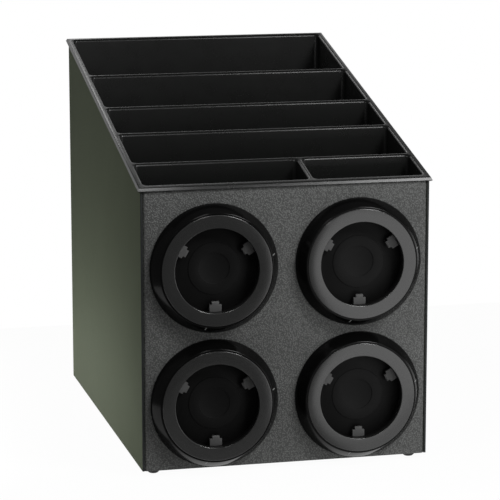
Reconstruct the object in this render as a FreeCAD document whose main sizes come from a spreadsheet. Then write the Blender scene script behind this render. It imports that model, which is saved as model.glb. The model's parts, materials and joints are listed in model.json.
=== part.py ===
import FreeCAD, Part
import math
import os
import re

import Sketcher
from FreeCAD import Placement, Rotation, Vector

# Countertop cup dispensing cabinet with a sloped organizer tray on top.
# X runs to the right, Y from the front to the rear and Z up, in millimetres.
# The origin is the centre of the footprint, at the undersides of the feet.

SIZES = {
    # Cabinet shell. The dispensers' rings and the margins round them set its width and height.
    "cabinet_depth": 533,
    "rear_rise": 135,
    "ring_side_margin": 11,
    "ring_bottom_margin": 1.5,
    "ring_top_margin": 21,
    "column_gap": 23,
    "row_gap": 8.5,
    "side_wall": 3,
    "front_wall": 5,
    "rear_wall": 3,
    "bottom_wall": 4,
    "front_edge_radius": 4,
    # Feet and their screws
    "foot_height": 7.5,
    "foot_top_radius": 10,
    "foot_tip_radius": 5.5,
    "foot_skirt_height": 3,
    "foot_inset_x": 18,
    "foot_inset_y": 20,
    "foot_screw_radius": 2,
    "foot_screw_depth": 4,
    "foot_screw_head_radius": 4,
    "foot_screw_head_height": 2,
    # Organizer tray, one thermoformed sheet. The rises are from the front row's floor.
    "tray_sheet": 2.4,
    "tray_gap": 0.6,
    "tray_ridge": 7,
    "tray_corner_radius": 6,
    "tray_floor_radius": 4,
    "tray_mouth_radius": 2.6,
    "tray_clearance": 1.85,
    "lip_overhang": 4,
    "lip_drop": 5.5,
    "lip_edge": 1.4,
    "lip_clearance": 0.2,
    "lip_skirt": 1.8,
    "divider_1_y": 75.5,
    "divider_2_y": 174.5,
    "divider_3_y": 266,
    "divider_4_y": 385,
    "floor_2_rise": 8,
    "floor_3_rise": 27,
    "floor_4_rise": 42,
    "floor_5_rise": 52,
    "straw_divider_x": 35,
    # Tube, pusher, spring and end cap
    "tube_radius": 66,
    "tube_wall": 2,
    "tube_fit": 0.15,
    "cap_rear_gap": 9,
    "cap_thickness": 3,
    "cap_spigot_length": 12,
    "cap_spigot_wall": 2,
    "cap_vent_radius": 4,
    "pusher_setback": 0.3,
    "pusher_gap": 1,
    "pusher_plate": 2.5,
    "pusher_skirt_length": 36,
    "pusher_skirt_wall": 2,
    "pusher_boss_height": 10,
    "pusher_ring_outer_radius": 34,
    "pusher_ring_inner_radius": 20,
    "pusher_ring_height": 0.8,
    "spring_side_gap": 16,
    "spring_wire_radius": 1.1,
    "spring_end_pitch": 3,
    "spring_turns": 14,
    "spring_seat_height": 5,
    "spring_seat_wall": 2,
    "spring_seat_gap": 1.4,
    # Lug guide: the fixed ring that carries the lugs and the tube
    "barrel_wall": 3,
    "barrel_length": 18,
    "panel_hole_gap": 0.8,
    "guide_flange": 8.25,
    "guide_shoulder": 2,
    "guide_seat_gap": 0.3,
    "guide_opening_step": 2,
    # Adjuster: the satin face and the cam ring behind it turn as one
    "running_gap": 0.4,
    "axial_gap": 0.3,
    "cam_flange": 3,
    "cam_thickness": 3.7,
    "face_width": 17,
    "face_plate": 3,
    "face_depth": 8,
    "face_outer_wall": 2.5,
    "face_inner_wall": 2,
    "face_edge_radius": 0.8,
    "adjust_angle": 40,
    # Retaining lugs. The pins run in the cam ring's spiral slots.
    "lug_reach": 13,
    "lug_width": 16,
    "lug_nose_width": 9.6,
    "lug_nose_length": 4,
    "lug_thickness": 4.4,
    "lug_travel": 5,
    "lug_end_gap": 1.4,
    "lug_pin_inset": 3.5,
    "lug_pin_radius": 2,
    "lug_gap": 0.3,
    "lug_edge_radius": 0.8,
    # Bezel ring, screwed to the front panel from behind
    "bezel_projection": 20,
    "bezel_base_height": 3,
    "bezel_front_setback": 1.2,
    "bezel_front_wall": 1.8,
    "bezel_inner_wall": 1.5,
    "bezel_outer_wall": 1.7,
    "bezel_edge_radius": 2.5,
    "bezel_screw_radius": 1.45,
    "bezel_screw_depth": 4,
    "bezel_screw_head_radius": 2.6,
    "bezel_screw_head_height": 2,
    "screw_clearance": 0.1,
    # Bulkhead that holds up the rear of the tubes
    "bulkhead_setback": 103,
    "bulkhead_wall": 4,
    "bulkhead_rim": 2,
    "bulkhead_hole_gap": 0.3,
}

# Clock positions around a dispenser's axis, in degrees from +X towards +Z.
LUG_ANGLES = {"left_lug": 150, "right_lug": 30, "lower_lug": 270}
SCREW_START_ANGLE = 45
SCREW_COUNT = 4

# Differences that count as nothing, in millimetres or cubic millimetres.
NEAR = 1e-6
FLUSH = 1e-4

# A rounding takes at most this share of the wall that it is on.
ROUNDING_SHARE = 0.9

# The cam's slots run a little past the lugs' travel, as a share of the half travel. Each side of a
# slot is a curve through this many points, and a slot's direction is taken over a short step.
SLOT_REACH = 1.02
SLOT_POINTS = 9
SLOT_STEP = 0.01

# The spring's direction is taken over a short step, and its gaps are measured this often per turn.
TURN_STEP = 1e-4
GAPS_PER_TURN = 16

# Radii of a dispenser, as expressions on the sizes, from the tube outwards.
TUBE_INNER = "(tube_radius - tube_wall)"
BARREL_INNER = "(tube_radius + tube_fit)"
BARREL_OUTER = "(%s + barrel_wall)" % BARREL_INNER
PANEL_HOLE = "(%s + panel_hole_gap)" % BARREL_OUTER
GUIDE_RADIUS = "(%s + guide_flange)" % BARREL_OUTER
GUIDE_SEAT = "(%s + guide_seat_gap)" % GUIDE_RADIUS
SCREW_HOLE = "(bezel_screw_radius + screw_clearance)"
SCREW_CIRCLE = "(%s + bezel_inner_wall + %s)" % (GUIDE_SEAT, SCREW_HOLE)
BEZEL_RADIUS = "(%s + %s + bezel_outer_wall)" % (SCREW_CIRCLE, SCREW_HOLE)
CAVITY = "(%s - guide_shoulder)" % GUIDE_RADIUS
CAM_RADIUS = "(%s - running_gap)" % CAVITY
FACE_RADIUS = "(%s - cam_flange)" % CAM_RADIUS
BEZEL_BORE = "(%s + running_gap)" % FACE_RADIUS
BEZEL_FRONT = "(%s + bezel_front_wall)" % BEZEL_BORE
CUP_OPENING = "(%s - face_width)" % FACE_RADIUS
GUIDE_OPENING = "(%s + guide_opening_step)" % CUP_OPENING
LUG_TIP = "(%s - lug_reach)" % CUP_OPENING
LUG_TAIL = "(%s - lug_travel - lug_end_gap)" % CAVITY
LUG_PIN_CIRCLE = "(%s - lug_pin_inset)" % LUG_TAIL
PUSHER_RADIUS = "(%s - pusher_gap)" % TUBE_INNER
CAP_SPIGOT = "(%s - tube_fit)" % TUBE_INNER
SPRING_RADIUS = "(%s - spring_side_gap)" % TUBE_INNER
CAP_SEAT_INNER = "(%s + spring_wire_radius + spring_seat_gap)" % SPRING_RADIUS
BOSS_RADIUS = "(%s - spring_wire_radius - spring_seat_gap)" % SPRING_RADIUS

# Places along a dispenser's axis. Y = 0 is the front face of the cabinet in a body's own
# coordinates, and FRONT_Y is where that face lies in the model.
FRONT_Y = "(bezel_projection - cabinet_depth - lip_overhang) / 2"
FACE_Y = "(0 - bezel_projection)"
CAM_FRONT_Y = "(face_depth - bezel_projection)"
CAM_REAR_Y = "(%s + cam_thickness)" % CAM_FRONT_Y
GUIDE_FRONT_Y = "(%s + axial_gap)" % CAM_REAR_Y
LUG_REAR_Y = "(%s + lug_thickness)" % GUIDE_FRONT_Y
CHANNEL_Y = "(%s + lug_gap)" % LUG_REAR_Y
PUSHER_BACK_Y = "(pusher_setback + pusher_plate)"
TUBE_END_Y = "(cabinet_depth - rear_wall - cap_rear_gap - cap_thickness)"

# Widths and heights of the cabinet. Heights are above the shell's underside.
INNER_WIDTH = "(4 * %s + column_gap + 2 * ring_side_margin - 2 * side_wall)" % BEZEL_RADIUS
CABINET_WIDTH = "(%s + 2 * side_wall)" % INNER_WIDTH
AXIS_X = "(%s + column_gap / 2)" % BEZEL_RADIUS
LOWER_AXIS_Z = "(%s + ring_bottom_margin)" % BEZEL_RADIUS
UPPER_AXIS_Z = "(%s + 2 * %s + row_gap)" % (LOWER_AXIS_Z, BEZEL_RADIUS)
FRONT_HEIGHT = "(%s + %s + ring_top_margin)" % (UPPER_AXIS_Z, BEZEL_RADIUS)
REAR_HEIGHT = "(%s + rear_rise)" % FRONT_HEIGHT
TRAY_FLOOR_Z = "(%s + %s + tray_clearance + tray_sheet)" % (UPPER_AXIS_Z, BARREL_OUTER)
SLOPE = "(rear_rise / cabinet_depth)"

doc = FreeCAD.newDocument("CupDispenserCabinet")
sheet = doc.addObject("Spreadsheet::Sheet", "Sizes")
for row, (alias, value) in enumerate(SIZES.items(), start=1):
    sheet.set("A%d" % row, alias)
    sheet.set("B%d" % row, str(value))
    sheet.setAlias("B%d" % row, alias)
doc.recompute()

WORD = re.compile(r"[a-z][a-z0-9_]*")
parts = {}


def linked(expression):
    """Return the expression with each size's name written as a reference to the sheet."""
    return WORD.sub(lambda m: "Sizes." + m.group(0) if m.group(0) in SIZES else m.group(0), expression)


def size(expression):
    """Return the number that an expression on the named sizes gives."""
    return float(sheet.evalExpression(linked(expression)))


def bind(target, path, expression):
    """Tie a property to the named sizes."""
    target.setExpression(path, linked(expression))


def place(target, x="0", y=FRONT_Y, z="foot_height"):
    """Tie an object's place to the named sizes."""
    for axis, expression in (("x", x), ("y", y), ("z", z)):
        bind(target, "Placement.Base." + axis, expression)


def body(label):
    """Add a body that is exported under its label."""
    new = doc.addObject("PartDesign::Body", label)
    new.Label = label
    parts[label] = new
    return new


def origin_feature(owner, role):
    """Return the plane or axis of a body's origin that has this role."""
    return [f for f in owner.Origin.OriginFeatures if f.Role == role][0]


def sketch_on(owner, plane, name, offset=None):
    """Add a sketch on an origin plane of the body, moved along the plane's normal by an offset."""
    sketch = owner.newObject("Sketcher::SketchObject", name)
    sketch.AttachmentSupport = [(origin_feature(owner, plane), "")]
    sketch.MapMode = "FlatFace"
    if offset:
        bind(sketch, "AttachmentOffset.Base.z", offset)
    return sketch


def fix_point(sketch, geometry, end, x, y):
    """Constrain one point of a sketch to a place given by two expressions."""
    for kind, axis, expression in (("DistanceX", -2, x), ("DistanceY", -1, y)):
        value = size(expression)
        if abs(value) < NEAR:
            sketch.addConstraint(Sketcher.Constraint("PointOnObject", geometry, end, axis))
            continue
        index = sketch.addConstraint(Sketcher.Constraint(kind, -1, 1, geometry, end, value))
        bind(sketch, "Constraints[%d]" % index, expression)


def add_outline(sketch, points):
    """Draw a closed outline of straight lines through points given as pairs of expressions."""
    first = sketch.GeometryCount
    places = [Vector(size(x), size(y), 0) for x, y in points]
    count = len(points)
    for i in range(count):
        sketch.addGeometry(Part.LineSegment(places[i], places[(i + 1) % count]), False)
    for i in range(count):
        sketch.addConstraint(Sketcher.Constraint("Coincident", first + i, 2, first + (i + 1) % count, 1))
    for i, (x, y) in enumerate(points):
        fix_point(sketch, first + i, 1, x, y)


def add_circle(sketch, x, y, radius):
    """Draw a circle with its centre and radius tied to the named sizes."""
    circle = Part.Circle(Vector(size(x), size(y), 0), Vector(0, 0, 1), size(radius))
    geometry = sketch.addGeometry(circle, False)
    fix_point(sketch, geometry, 3, x, y)
    index = sketch.addConstraint(Sketcher.Constraint("Radius", geometry, size(radius)))
    bind(sketch, "Constraints[%d]" % index, radius)


def pad(owner, sketch, length, name="Pad", midplane=False, reverse=False):
    """Pad a sketch by a length tied to the named sizes."""
    feature = owner.newObject("PartDesign::Pad", name)
    feature.Profile = sketch
    feature.Midplane = midplane
    feature.Reversed = reverse
    bind(feature, "Length", length)
    doc.recompute()
    return feature


def pocket(owner, sketch, length, name="Pocket", midplane=False, reverse=False):
    """Cut a sketch into its body, and check that it took something away."""
    before = owner.Shape.Volume
    feature = owner.newObject("PartDesign::Pocket", name)
    feature.Profile = sketch
    feature.Midplane = midplane
    feature.Reversed = reverse
    bind(feature, "Length", length)
    doc.recompute()
    if feature.Shape.Volume >= before - NEAR:
        raise RuntimeError("%s in %s cuts nothing" % (name, owner.Label))
    return feature


def around_axis(owner, feature, copies):
    """Repeat a feature evenly round the body's own Y axis."""
    pattern = owner.newObject("PartDesign::PolarPattern", "Pattern")
    pattern.Originals = [feature]
    pattern.Axis = (origin_feature(owner, "Y_Axis"), [""])
    pattern.Angle = 360
    pattern.Occurrences = copies
    owner.Tip = pattern
    doc.recompute()
    return pattern


def round_edges(owner, base, chosen, radius, name="Fillet"):
    """Round the edges of a feature that a test chooses."""
    names = ["Edge%d" % (i + 1) for i, edge in enumerate(base.Shape.Edges) if chosen(edge)]
    if not names:
        raise RuntimeError("no edge to round in %s" % owner.Label)
    fillet = owner.newObject("PartDesign::Fillet", name)
    fillet.Base = (base, names)
    bind(fillet, "Radius", radius)
    doc.recompute()
    return fillet


def turned(label, points):
    """Make a body of revolution about its own Y axis from an outline of radius and Y pairs."""
    new = body(label)
    sketch = sketch_on(new, "XY_Plane", "Profile")
    add_outline(sketch, points)
    revolution = new.newObject("PartDesign::Revolution", "Revolution")
    revolution.Profile = sketch
    revolution.ReferenceAxis = (sketch, ["V_Axis"])
    revolution.Angle = 360
    doc.recompute()
    return new, revolution


def circle_at(radius, y):
    """Return a test for a full circular edge of this radius at this Y."""
    def chosen(edge):
        if not isinstance(edge.Curve, Part.Circle):
            return False
        return abs(edge.Curve.Radius - radius) < NEAR and abs(edge.CenterOfMass.y - y) < NEAR
    return chosen


def turn_about_y(target, angle):
    """Turn an object so that its own +X points at this clock angle round the Y axis."""
    target.Placement = Placement(Vector(), Rotation(Vector(0, 1, 0), -angle))


def shell_top(y):
    """Return the expression of the shell's sloped top edge at a distance behind the front."""
    return "%s + %s * (%s)" % (FRONT_HEIGHT, SLOPE, y)


def make_side_panel(label, side):
    """Flat side wall with a sloped top edge. side is -1 for the left and 1 for the right."""
    panel = body(label)
    sketch = sketch_on(panel, "YZ_Plane", "Outline")
    add_outline(sketch, [("0", "0"), ("cabinet_depth", "0"), ("cabinet_depth", REAR_HEIGHT),
                         ("0", FRONT_HEIGHT)])
    pad(panel, sketch, "side_wall")
    place(panel, x=INNER_WIDTH + " / 2" if side > 0 else "0 - %s / 2" % CABINET_WIDTH)


def add_box_outline(sketch, half_width, low, high):
    """Draw a rectangle that is centred on the vertical axis."""
    add_outline(sketch, [("0 - %s" % half_width, low), (half_width, low), (half_width, high),
                         ("0 - %s" % half_width, high)])


def dispenser_axes():
    """Yield the name and the X and Z expressions of each dispenser's axis."""
    for level, z in (("upper", UPPER_AXIS_Z), ("lower", LOWER_AXIS_Z)):
        for side, x in (("left", "0 - " + AXIS_X), ("right", AXIS_X)):
            yield "%s_%s" % (level, side), x, z


def screw_places():
    """Yield the X and Z expressions of the bezel screws on the front panel."""
    for _name, x, z in dispenser_axes():
        for copy in range(SCREW_COUNT):
            angle = SCREW_START_ANGLE + copy * 360 / SCREW_COUNT
            yield ("%s + %s * cos(%g)" % (x, SCREW_CIRCLE, angle),
                   "%s + %s * sin(%g)" % (z, SCREW_CIRCLE, angle))


def make_front_panel():
    """Front wall between the side walls, with a round hole for each dispenser."""
    panel = body("front_panel")
    sketch = sketch_on(panel, "XZ_Plane", "Outline")
    add_box_outline(sketch, INNER_WIDTH + " / 2", "0", FRONT_HEIGHT)
    plate = pad(panel, sketch, "front_wall", reverse=True)
    half = size(INNER_WIDTH) / 2

    def front_upright(edge):
        centre = edge.CenterOfMass
        return abs(abs(centre.x) - half) < NEAR and abs(centre.y) < NEAR

    round_edges(panel, plate, front_upright, "min(front_edge_radius; front_wall * %g)" % ROUNDING_SHARE)
    holes = sketch_on(panel, "XZ_Plane", "DispenserHoles")
    for _name, x, z in dispenser_axes():
        add_circle(holes, x, z, PANEL_HOLE)
    pocket(panel, holes, "front_wall * 2", name="DispenserCuts", midplane=True)
    holes = sketch_on(panel, "XZ_Plane", "ScrewHoles")
    for x, z in screw_places():
        add_circle(holes, x, z, SCREW_HOLE)
    pocket(panel, holes, "front_wall * 2", name="ScrewCuts", midplane=True)
    place(panel)


def make_rear_panel():
    """Plain rear wall between the side walls."""
    panel = body("rear_panel")
    sketch = sketch_on(panel, "XZ_Plane", "Outline")
    add_box_outline(sketch, INNER_WIDTH + " / 2", "0", shell_top("cabinet_depth - rear_wall"))
    pad(panel, sketch, "rear_wall", reverse=True)
    place(panel, y=FRONT_Y + " + cabinet_depth - rear_wall")


def foot_places():
    """Yield the name and the X and Y expressions of each foot, from the front face."""
    for row, y in (("front", "foot_inset_y"), ("rear", "cabinet_depth - foot_inset_y")):
        for side, x in (("left", "foot_inset_x - %s / 2" % CABINET_WIDTH),
                        ("right", "%s / 2 - foot_inset_x" % CABINET_WIDTH)):
            yield "%s_%s" % (row, side), x, y


def make_bottom_panel():
    """Bottom wall between the other four, with a hole for each foot's screw."""
    panel = body("bottom_panel")
    sketch = sketch_on(panel, "XY_Plane", "Outline")
    add_box_outline(sketch, INNER_WIDTH + " / 2", "front_wall", "cabinet_depth - rear_wall")
    pad(panel, sketch, "bottom_wall")
    holes = sketch_on(panel, "XY_Plane", "FootHoles")
    for _name, x, y in foot_places():
        add_circle(holes, x, y, "foot_screw_radius + screw_clearance")
    pocket(panel, holes, "bottom_wall * 2", midplane=True)
    place(panel)


def upright(label, points):
    """Make a body of revolution about its own Z axis from an outline of radius and Z pairs."""
    new = body(label)
    sketch = sketch_on(new, "XZ_Plane", "Profile")
    add_outline(sketch, points)
    revolution = new.newObject("PartDesign::Revolution", "Revolution")
    revolution.Profile = sketch
    revolution.ReferenceAxis = (sketch, ["V_Axis"])
    revolution.Angle = 360
    doc.recompute()
    return new, revolution


def make_feet():
    """Domed rubber feet, and the screws that hold them from inside the cabinet."""
    for name, x, y in foot_places():
        foot, dome = upright(name + "_foot", [
            ("foot_tip_radius", "0"), ("foot_top_radius", "foot_height - foot_skirt_height"),
            ("foot_top_radius", "foot_height"), ("foot_screw_radius + screw_clearance", "foot_height"),
            ("foot_screw_radius + screw_clearance", "foot_height - foot_screw_depth"),
            ("0", "foot_height - foot_screw_depth"), ("0", "0")])
        place(foot, x=x, y=FRONT_Y + " + " + y, z="0")
        screw, _shape = upright(name + "_foot_screw", [
            ("0", "screw_clearance - foot_screw_depth"),
            ("foot_screw_radius", "screw_clearance - foot_screw_depth"),
            ("foot_screw_radius", "bottom_wall"), ("foot_screw_head_radius", "bottom_wall"),
            ("foot_screw_head_radius", "bottom_wall + foot_screw_head_height"),
            ("0", "bottom_wall + foot_screw_head_height")])
        place(screw, x=x, y=FRONT_Y + " + " + y)


def make_bulkhead():
    """Board across the cabinet with four holes in which the tubes lie."""
    board = body("tube_bulkhead")
    sketch = sketch_on(board, "XZ_Plane", "Outline")
    add_box_outline(sketch, INNER_WIDTH + " / 2", "bottom_wall",
                    UPPER_AXIS_Z + " + tube_radius + bulkhead_hole_gap + bulkhead_rim")
    pad(board, sketch, "bulkhead_wall", reverse=True)
    holes = sketch_on(board, "XZ_Plane", "TubeHoles")
    for _name, x, z in dispenser_axes():
        add_circle(holes, x, z, "tube_radius + bulkhead_hole_gap")
    pocket(board, holes, "bulkhead_wall * 2", midplane=True)
    place(board, y=FRONT_Y + " + cabinet_depth - bulkhead_setback")


def sloped_rectangle(grow, drop):
    """Wire of the tray's outline on the slope, grown by a width and lowered by a drop."""
    half = size(CABINET_WIDTH) / 2 + grow
    rise = size(SLOPE)
    top = size(FRONT_HEIGHT + " + tray_sheet") - drop
    near = -grow
    far = size("cabinet_depth") + grow
    corners = [(-half, near), (half, near), (half, far), (-half, far), (-half, near)]
    return Part.makePolygon([Vector(x, y, top + rise * y) for x, y in corners])


def sloped_skirt(top_grow, top_drop, bottom_grow, bottom_drop):
    """Solid between two sloped rectangles."""
    wires = [sloped_rectangle(bottom_grow, bottom_drop), sloped_rectangle(top_grow, top_drop)]
    return Part.makeLoft(wires, True, True)


def rounded_box(x0, x1, y0, y1, z0, z1, corner, floor):
    """Box with rounded upright edges and a rounded floor."""
    box = Part.makeBox(x1 - x0, y1 - y0, z1 - z0, Vector(x0, y0, z0))
    uprights = [e for e in box.Edges if abs(e.BoundBox.ZLength - (z1 - z0)) < NEAR]
    box = box.makeFillet(corner, uprights)
    bottom = [e for e in box.Edges if e.BoundBox.ZMax < z0 + NEAR]
    return box.makeFillet(floor, bottom)


def tray_pockets():
    """Yield the inner box of each compartment, front row first: x0, x1, y0, y1 and floor."""
    wall = size("tray_gap + tray_sheet")
    half = size(INNER_WIDTH) / 2 - wall
    ridge = size("tray_ridge") / 2
    near = size("front_wall") + wall
    far = size("cabinet_depth - rear_wall") - wall
    dividers = [size("divider_%d_y" % i) for i in range(1, 5)]
    fronts = [near] + [y + ridge for y in dividers]
    backs = [y - ridge for y in dividers] + [far]
    split = size("straw_divider_x")
    rises = [0] + [size("floor_%d_rise" % i) for i in range(2, 6)]
    for y0, y1, rise in zip(fronts, backs, rises):
        spans = [(-half, half)] if y0 > near else [(-half, split - ridge), (split + ridge, half)]
        for x0, x1 in spans:
            yield x0, x1, y0, y1, size(TRAY_FLOOR_Z) + rise


def make_tray():
    """Sheet with six compartments, a sloped flange and a flared lip that hangs over the walls."""
    sheet_wall = size("tray_sheet")
    corner = size("tray_corner_radius")
    floor_radius = size("tray_floor_radius")
    above = size(REAR_HEIGHT + " + tray_sheet + lip_overhang")
    lip = size("lip_overhang")
    skirt = sloped_skirt(size("lip_edge"), 0, lip, size("lip_drop"))
    inside = sloped_skirt(size("lip_clearance"), sheet_wall, lip - size("lip_skirt"), size("lip_drop"))
    shell = skirt.cut(inside)
    slope_cut = Part.makeLoft([sloped_rectangle(lip, 0), sloped_rectangle(lip, -above)], True, True)
    for x0, x1, y0, y1, floor in tray_pockets():
        outer = rounded_box(x0 - sheet_wall, x1 + sheet_wall, y0 - sheet_wall, y1 + sheet_wall,
                            floor - sheet_wall, above, corner + sheet_wall, floor_radius + sheet_wall)
        shell = shell.fuse(outer.cut(slope_cut))
    for x0, x1, y0, y1, floor in tray_pockets():
        shell = shell.cut(rounded_box(x0, x1, y0, y1, floor, above, corner, floor_radius))
    shell = shell.removeSplitter()
    shell = shell.makeFillet(size("tray_mouth_radius"), mouth_edges(shell))
    add_shape("organizer_tray", shell, Placement(Vector(0, size(FRONT_Y), size("foot_height")), Rotation()))


def mouth_edges(shell):
    """Edges of the tray's top face that run round a compartment's mouth."""
    top = size(FRONT_HEIGHT + " + tray_sheet")
    rise = size(SLOPE)
    half = size(CABINET_WIDTH) / 2
    depth = size("cabinet_depth")

    def on_top(point):
        return abs(point.z - top - rise * point.y) < FLUSH

    def inside(point):
        return abs(point.x) < half and 0 < point.y < depth

    return [e for e in shell.Edges if all(on_top(v.Point) and inside(v.Point) for v in e.Vertexes)]


def add_shape(label, shape, placement):
    """Add a piece whose shape is worked out here from the named sizes."""
    feature = doc.addObject("Part::Feature", label)
    feature.Label = label
    feature.Shape = shape
    feature.Placement = placement
    parts[label] = feature
    return feature


def axis_placement(x, z):
    """Placement of a dispenser's own frame."""
    return Placement(Vector(size(x), size(FRONT_Y), size("foot_height + " + z)), Rotation())


def make_bezel(name, x, z):
    """Gloss ring on the front panel, with a sloped flank and a turned seat for the guide."""
    front = "(bezel_front_setback - bezel_projection)"
    shoulder = "(%s - axial_gap)" % CAM_FRONT_Y
    ring, turned_ring = turned(name + "_bezel_ring", [
        (BEZEL_BORE, front), (BEZEL_FRONT, front), (BEZEL_RADIUS, "0 - bezel_base_height"),
        (BEZEL_RADIUS, "0"), (GUIDE_SEAT, "0"), (GUIDE_SEAT, GUIDE_FRONT_Y), (CAVITY, GUIDE_FRONT_Y),
        (CAVITY, shoulder), (BEZEL_BORE, shoulder)])
    round_edges(ring, turned_ring, circle_at(size(BEZEL_RADIUS), -size("bezel_base_height")),
                "bezel_edge_radius")
    hole = sketch_on(ring, "XZ_Plane", "ScrewHole")
    add_circle(hole, SCREW_CIRCLE, "0", "bezel_screw_radius + screw_clearance / 2")
    drilled = pocket(ring, hole, "bezel_screw_depth + screw_clearance", reverse=True)
    around_axis(ring, drilled, SCREW_COUNT)
    turn_about_y(ring, SCREW_START_ANGLE)
    place(ring, x=x, z="foot_height + " + z)


def make_adjuster(name, x, z):
    """Satin front face of the adjuster: a ring of channel section, open at the rear."""
    plate = "(face_plate - bezel_projection)"
    neck = "(%s - face_outer_wall)" % FACE_RADIUS
    lining = "(%s + face_inner_wall)" % CUP_OPENING
    face, ring = turned(name + "_adjuster_face", [
        (CUP_OPENING, FACE_Y), (FACE_RADIUS, FACE_Y), (FACE_RADIUS, CAM_FRONT_Y), (neck, CAM_FRONT_Y),
        (neck, plate), (lining, plate), (lining, CAM_FRONT_Y), (CUP_OPENING, CAM_FRONT_Y)])
    front = size(FACE_Y)
    outer = circle_at(size(FACE_RADIUS), front)
    inner = circle_at(size(CUP_OPENING), front)
    round_edges(face, ring, lambda edge: outer(edge) or inner(edge), "face_edge_radius")
    place(face, x=x, z="foot_height + " + z)


def spiral_point(turn, offset):
    """Point of the cam slot's centre line at a share of its half turn, moved outwards."""
    angle = math.radians(size("adjust_angle")) * turn
    radius = size(LUG_PIN_CIRCLE) + size("lug_travel") * turn + offset
    return Vector(radius * math.cos(angle), 0, -radius * math.sin(angle))


def slot_end(turn, outward):
    """Tip of the slot's round end, in line with the slot."""
    half = size("lug_pin_radius + lug_gap")
    along = spiral_point(turn, 0) - spiral_point(turn - SLOT_STEP * outward, 0)
    along.normalize()
    return spiral_point(turn, 0) + along * half


def cam_slot():
    """Solid of one spiral slot. The pin's radius changes evenly with the cam's angle."""
    half = size("lug_pin_radius + lug_gap")
    end = SLOT_REACH
    turns = [end * (2 * i / (SLOT_POINTS - 1) - 1) for i in range(SLOT_POINTS)]
    outer = Part.BSplineCurve()
    outer.interpolate([spiral_point(t, half) for t in turns])
    inner = Part.BSplineCurve()
    inner.interpolate([spiral_point(t, -half) for t in reversed(turns)])
    far = Part.Arc(spiral_point(end, half), slot_end(end, 1), spiral_point(end, -half))
    near = Part.Arc(spiral_point(-end, -half), slot_end(-end, -1), spiral_point(-end, half))
    face = Part.Face(Part.Wire([outer.toShape(), far.toShape(), inner.toShape(), near.toShape()]))
    return face.extrude(Vector(0, size("cam_thickness") * 3, 0))


def cam_ring_shape():
    """Flat ring with three spiral slots, turned to the lugs' rest positions."""
    front = size(CAM_FRONT_Y)
    thickness = size("cam_thickness")
    along = Vector(0, 1, 0)
    ring = Part.makeCylinder(size(CAM_RADIUS), thickness, Vector(0, front, 0), along)
    ring = ring.cut(Part.makeCylinder(size(CUP_OPENING), thickness, Vector(0, front, 0), along))
    for angle in LUG_ANGLES.values():
        slot = cam_slot()
        slot.translate(Vector(0, front - thickness, 0))
        slot.rotate(Vector(), along, -angle)
        ring = ring.cut(slot)
    return ring


def make_lugs(name, x, z):
    """Three sliding lugs, each with a pin in a slot of the cam ring."""
    for lug_name, angle in LUG_ANGLES.items():
        lug = body("%s_%s" % (name, lug_name))
        plane = sketch_on(lug, "XZ_Plane", "Outline", offset="0 - %s" % LUG_REAR_Y)
        shoulder = "(%s + lug_nose_length)" % LUG_TIP
        add_outline(plane, [
            (LUG_TIP, "0 - lug_nose_width / 2"), (shoulder, "0 - lug_nose_width / 2"),
            (shoulder, "0 - lug_width / 2"), (LUG_TAIL, "0 - lug_width / 2"),
            (LUG_TAIL, "lug_width / 2"), (shoulder, "lug_width / 2"),
            (shoulder, "lug_nose_width / 2"), (LUG_TIP, "lug_nose_width / 2")])
        bar = pad(lug, plane, "lug_thickness")
        front = size(LUG_REAR_Y) - size("lug_thickness")
        tip = size(LUG_TIP)

        def front_of_nose(edge):
            centre = edge.CenterOfMass
            return abs(centre.y - front) < NEAR and centre.x < tip + NEAR

        round_edges(lug, bar, front_of_nose, "lug_edge_radius")
        pin = sketch_on(lug, "XZ_Plane", "Pin", offset="0 - %s" % LUG_REAR_Y)
        add_circle(pin, LUG_PIN_CIRCLE, "0", "lug_pin_radius")
        pad(lug, pin, "lug_thickness + axial_gap + cam_thickness - lug_gap", name="PinPad")
        turn_about_y(lug, angle)
        place(lug, x=x, z="foot_height + " + z)


def make_guide(name, x, z):
    """Fixed ring with three channels for the lugs, and a barrel that holds the tube."""
    guide, _ring = turned(name + "_lug_guide", [
        (GUIDE_OPENING, GUIDE_FRONT_Y), (GUIDE_RADIUS, GUIDE_FRONT_Y), (GUIDE_RADIUS, "0"),
        (BARREL_OUTER, "0"), (BARREL_OUTER, "barrel_length"), (BARREL_INNER, "barrel_length"),
        (BARREL_INNER, "0"), (GUIDE_OPENING, "0")])
    channel = sketch_on(guide, "XY_Plane", "Channel")
    near = "(%s - lug_width)" % GUIDE_OPENING
    far = "(%s + lug_travel + 2 * lug_gap)" % LUG_TAIL
    add_outline(channel, [(near, CAM_REAR_Y), (far, CAM_REAR_Y), (far, CHANNEL_Y), (near, CHANNEL_Y)])
    cut = pocket(guide, channel, "lug_width + 2 * lug_gap", midplane=True)
    around_axis(guide, cut, len(LUG_ANGLES))
    turn_about_y(guide, min(LUG_ANGLES.values()))
    place(guide, x=x, z="foot_height + " + z)


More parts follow.
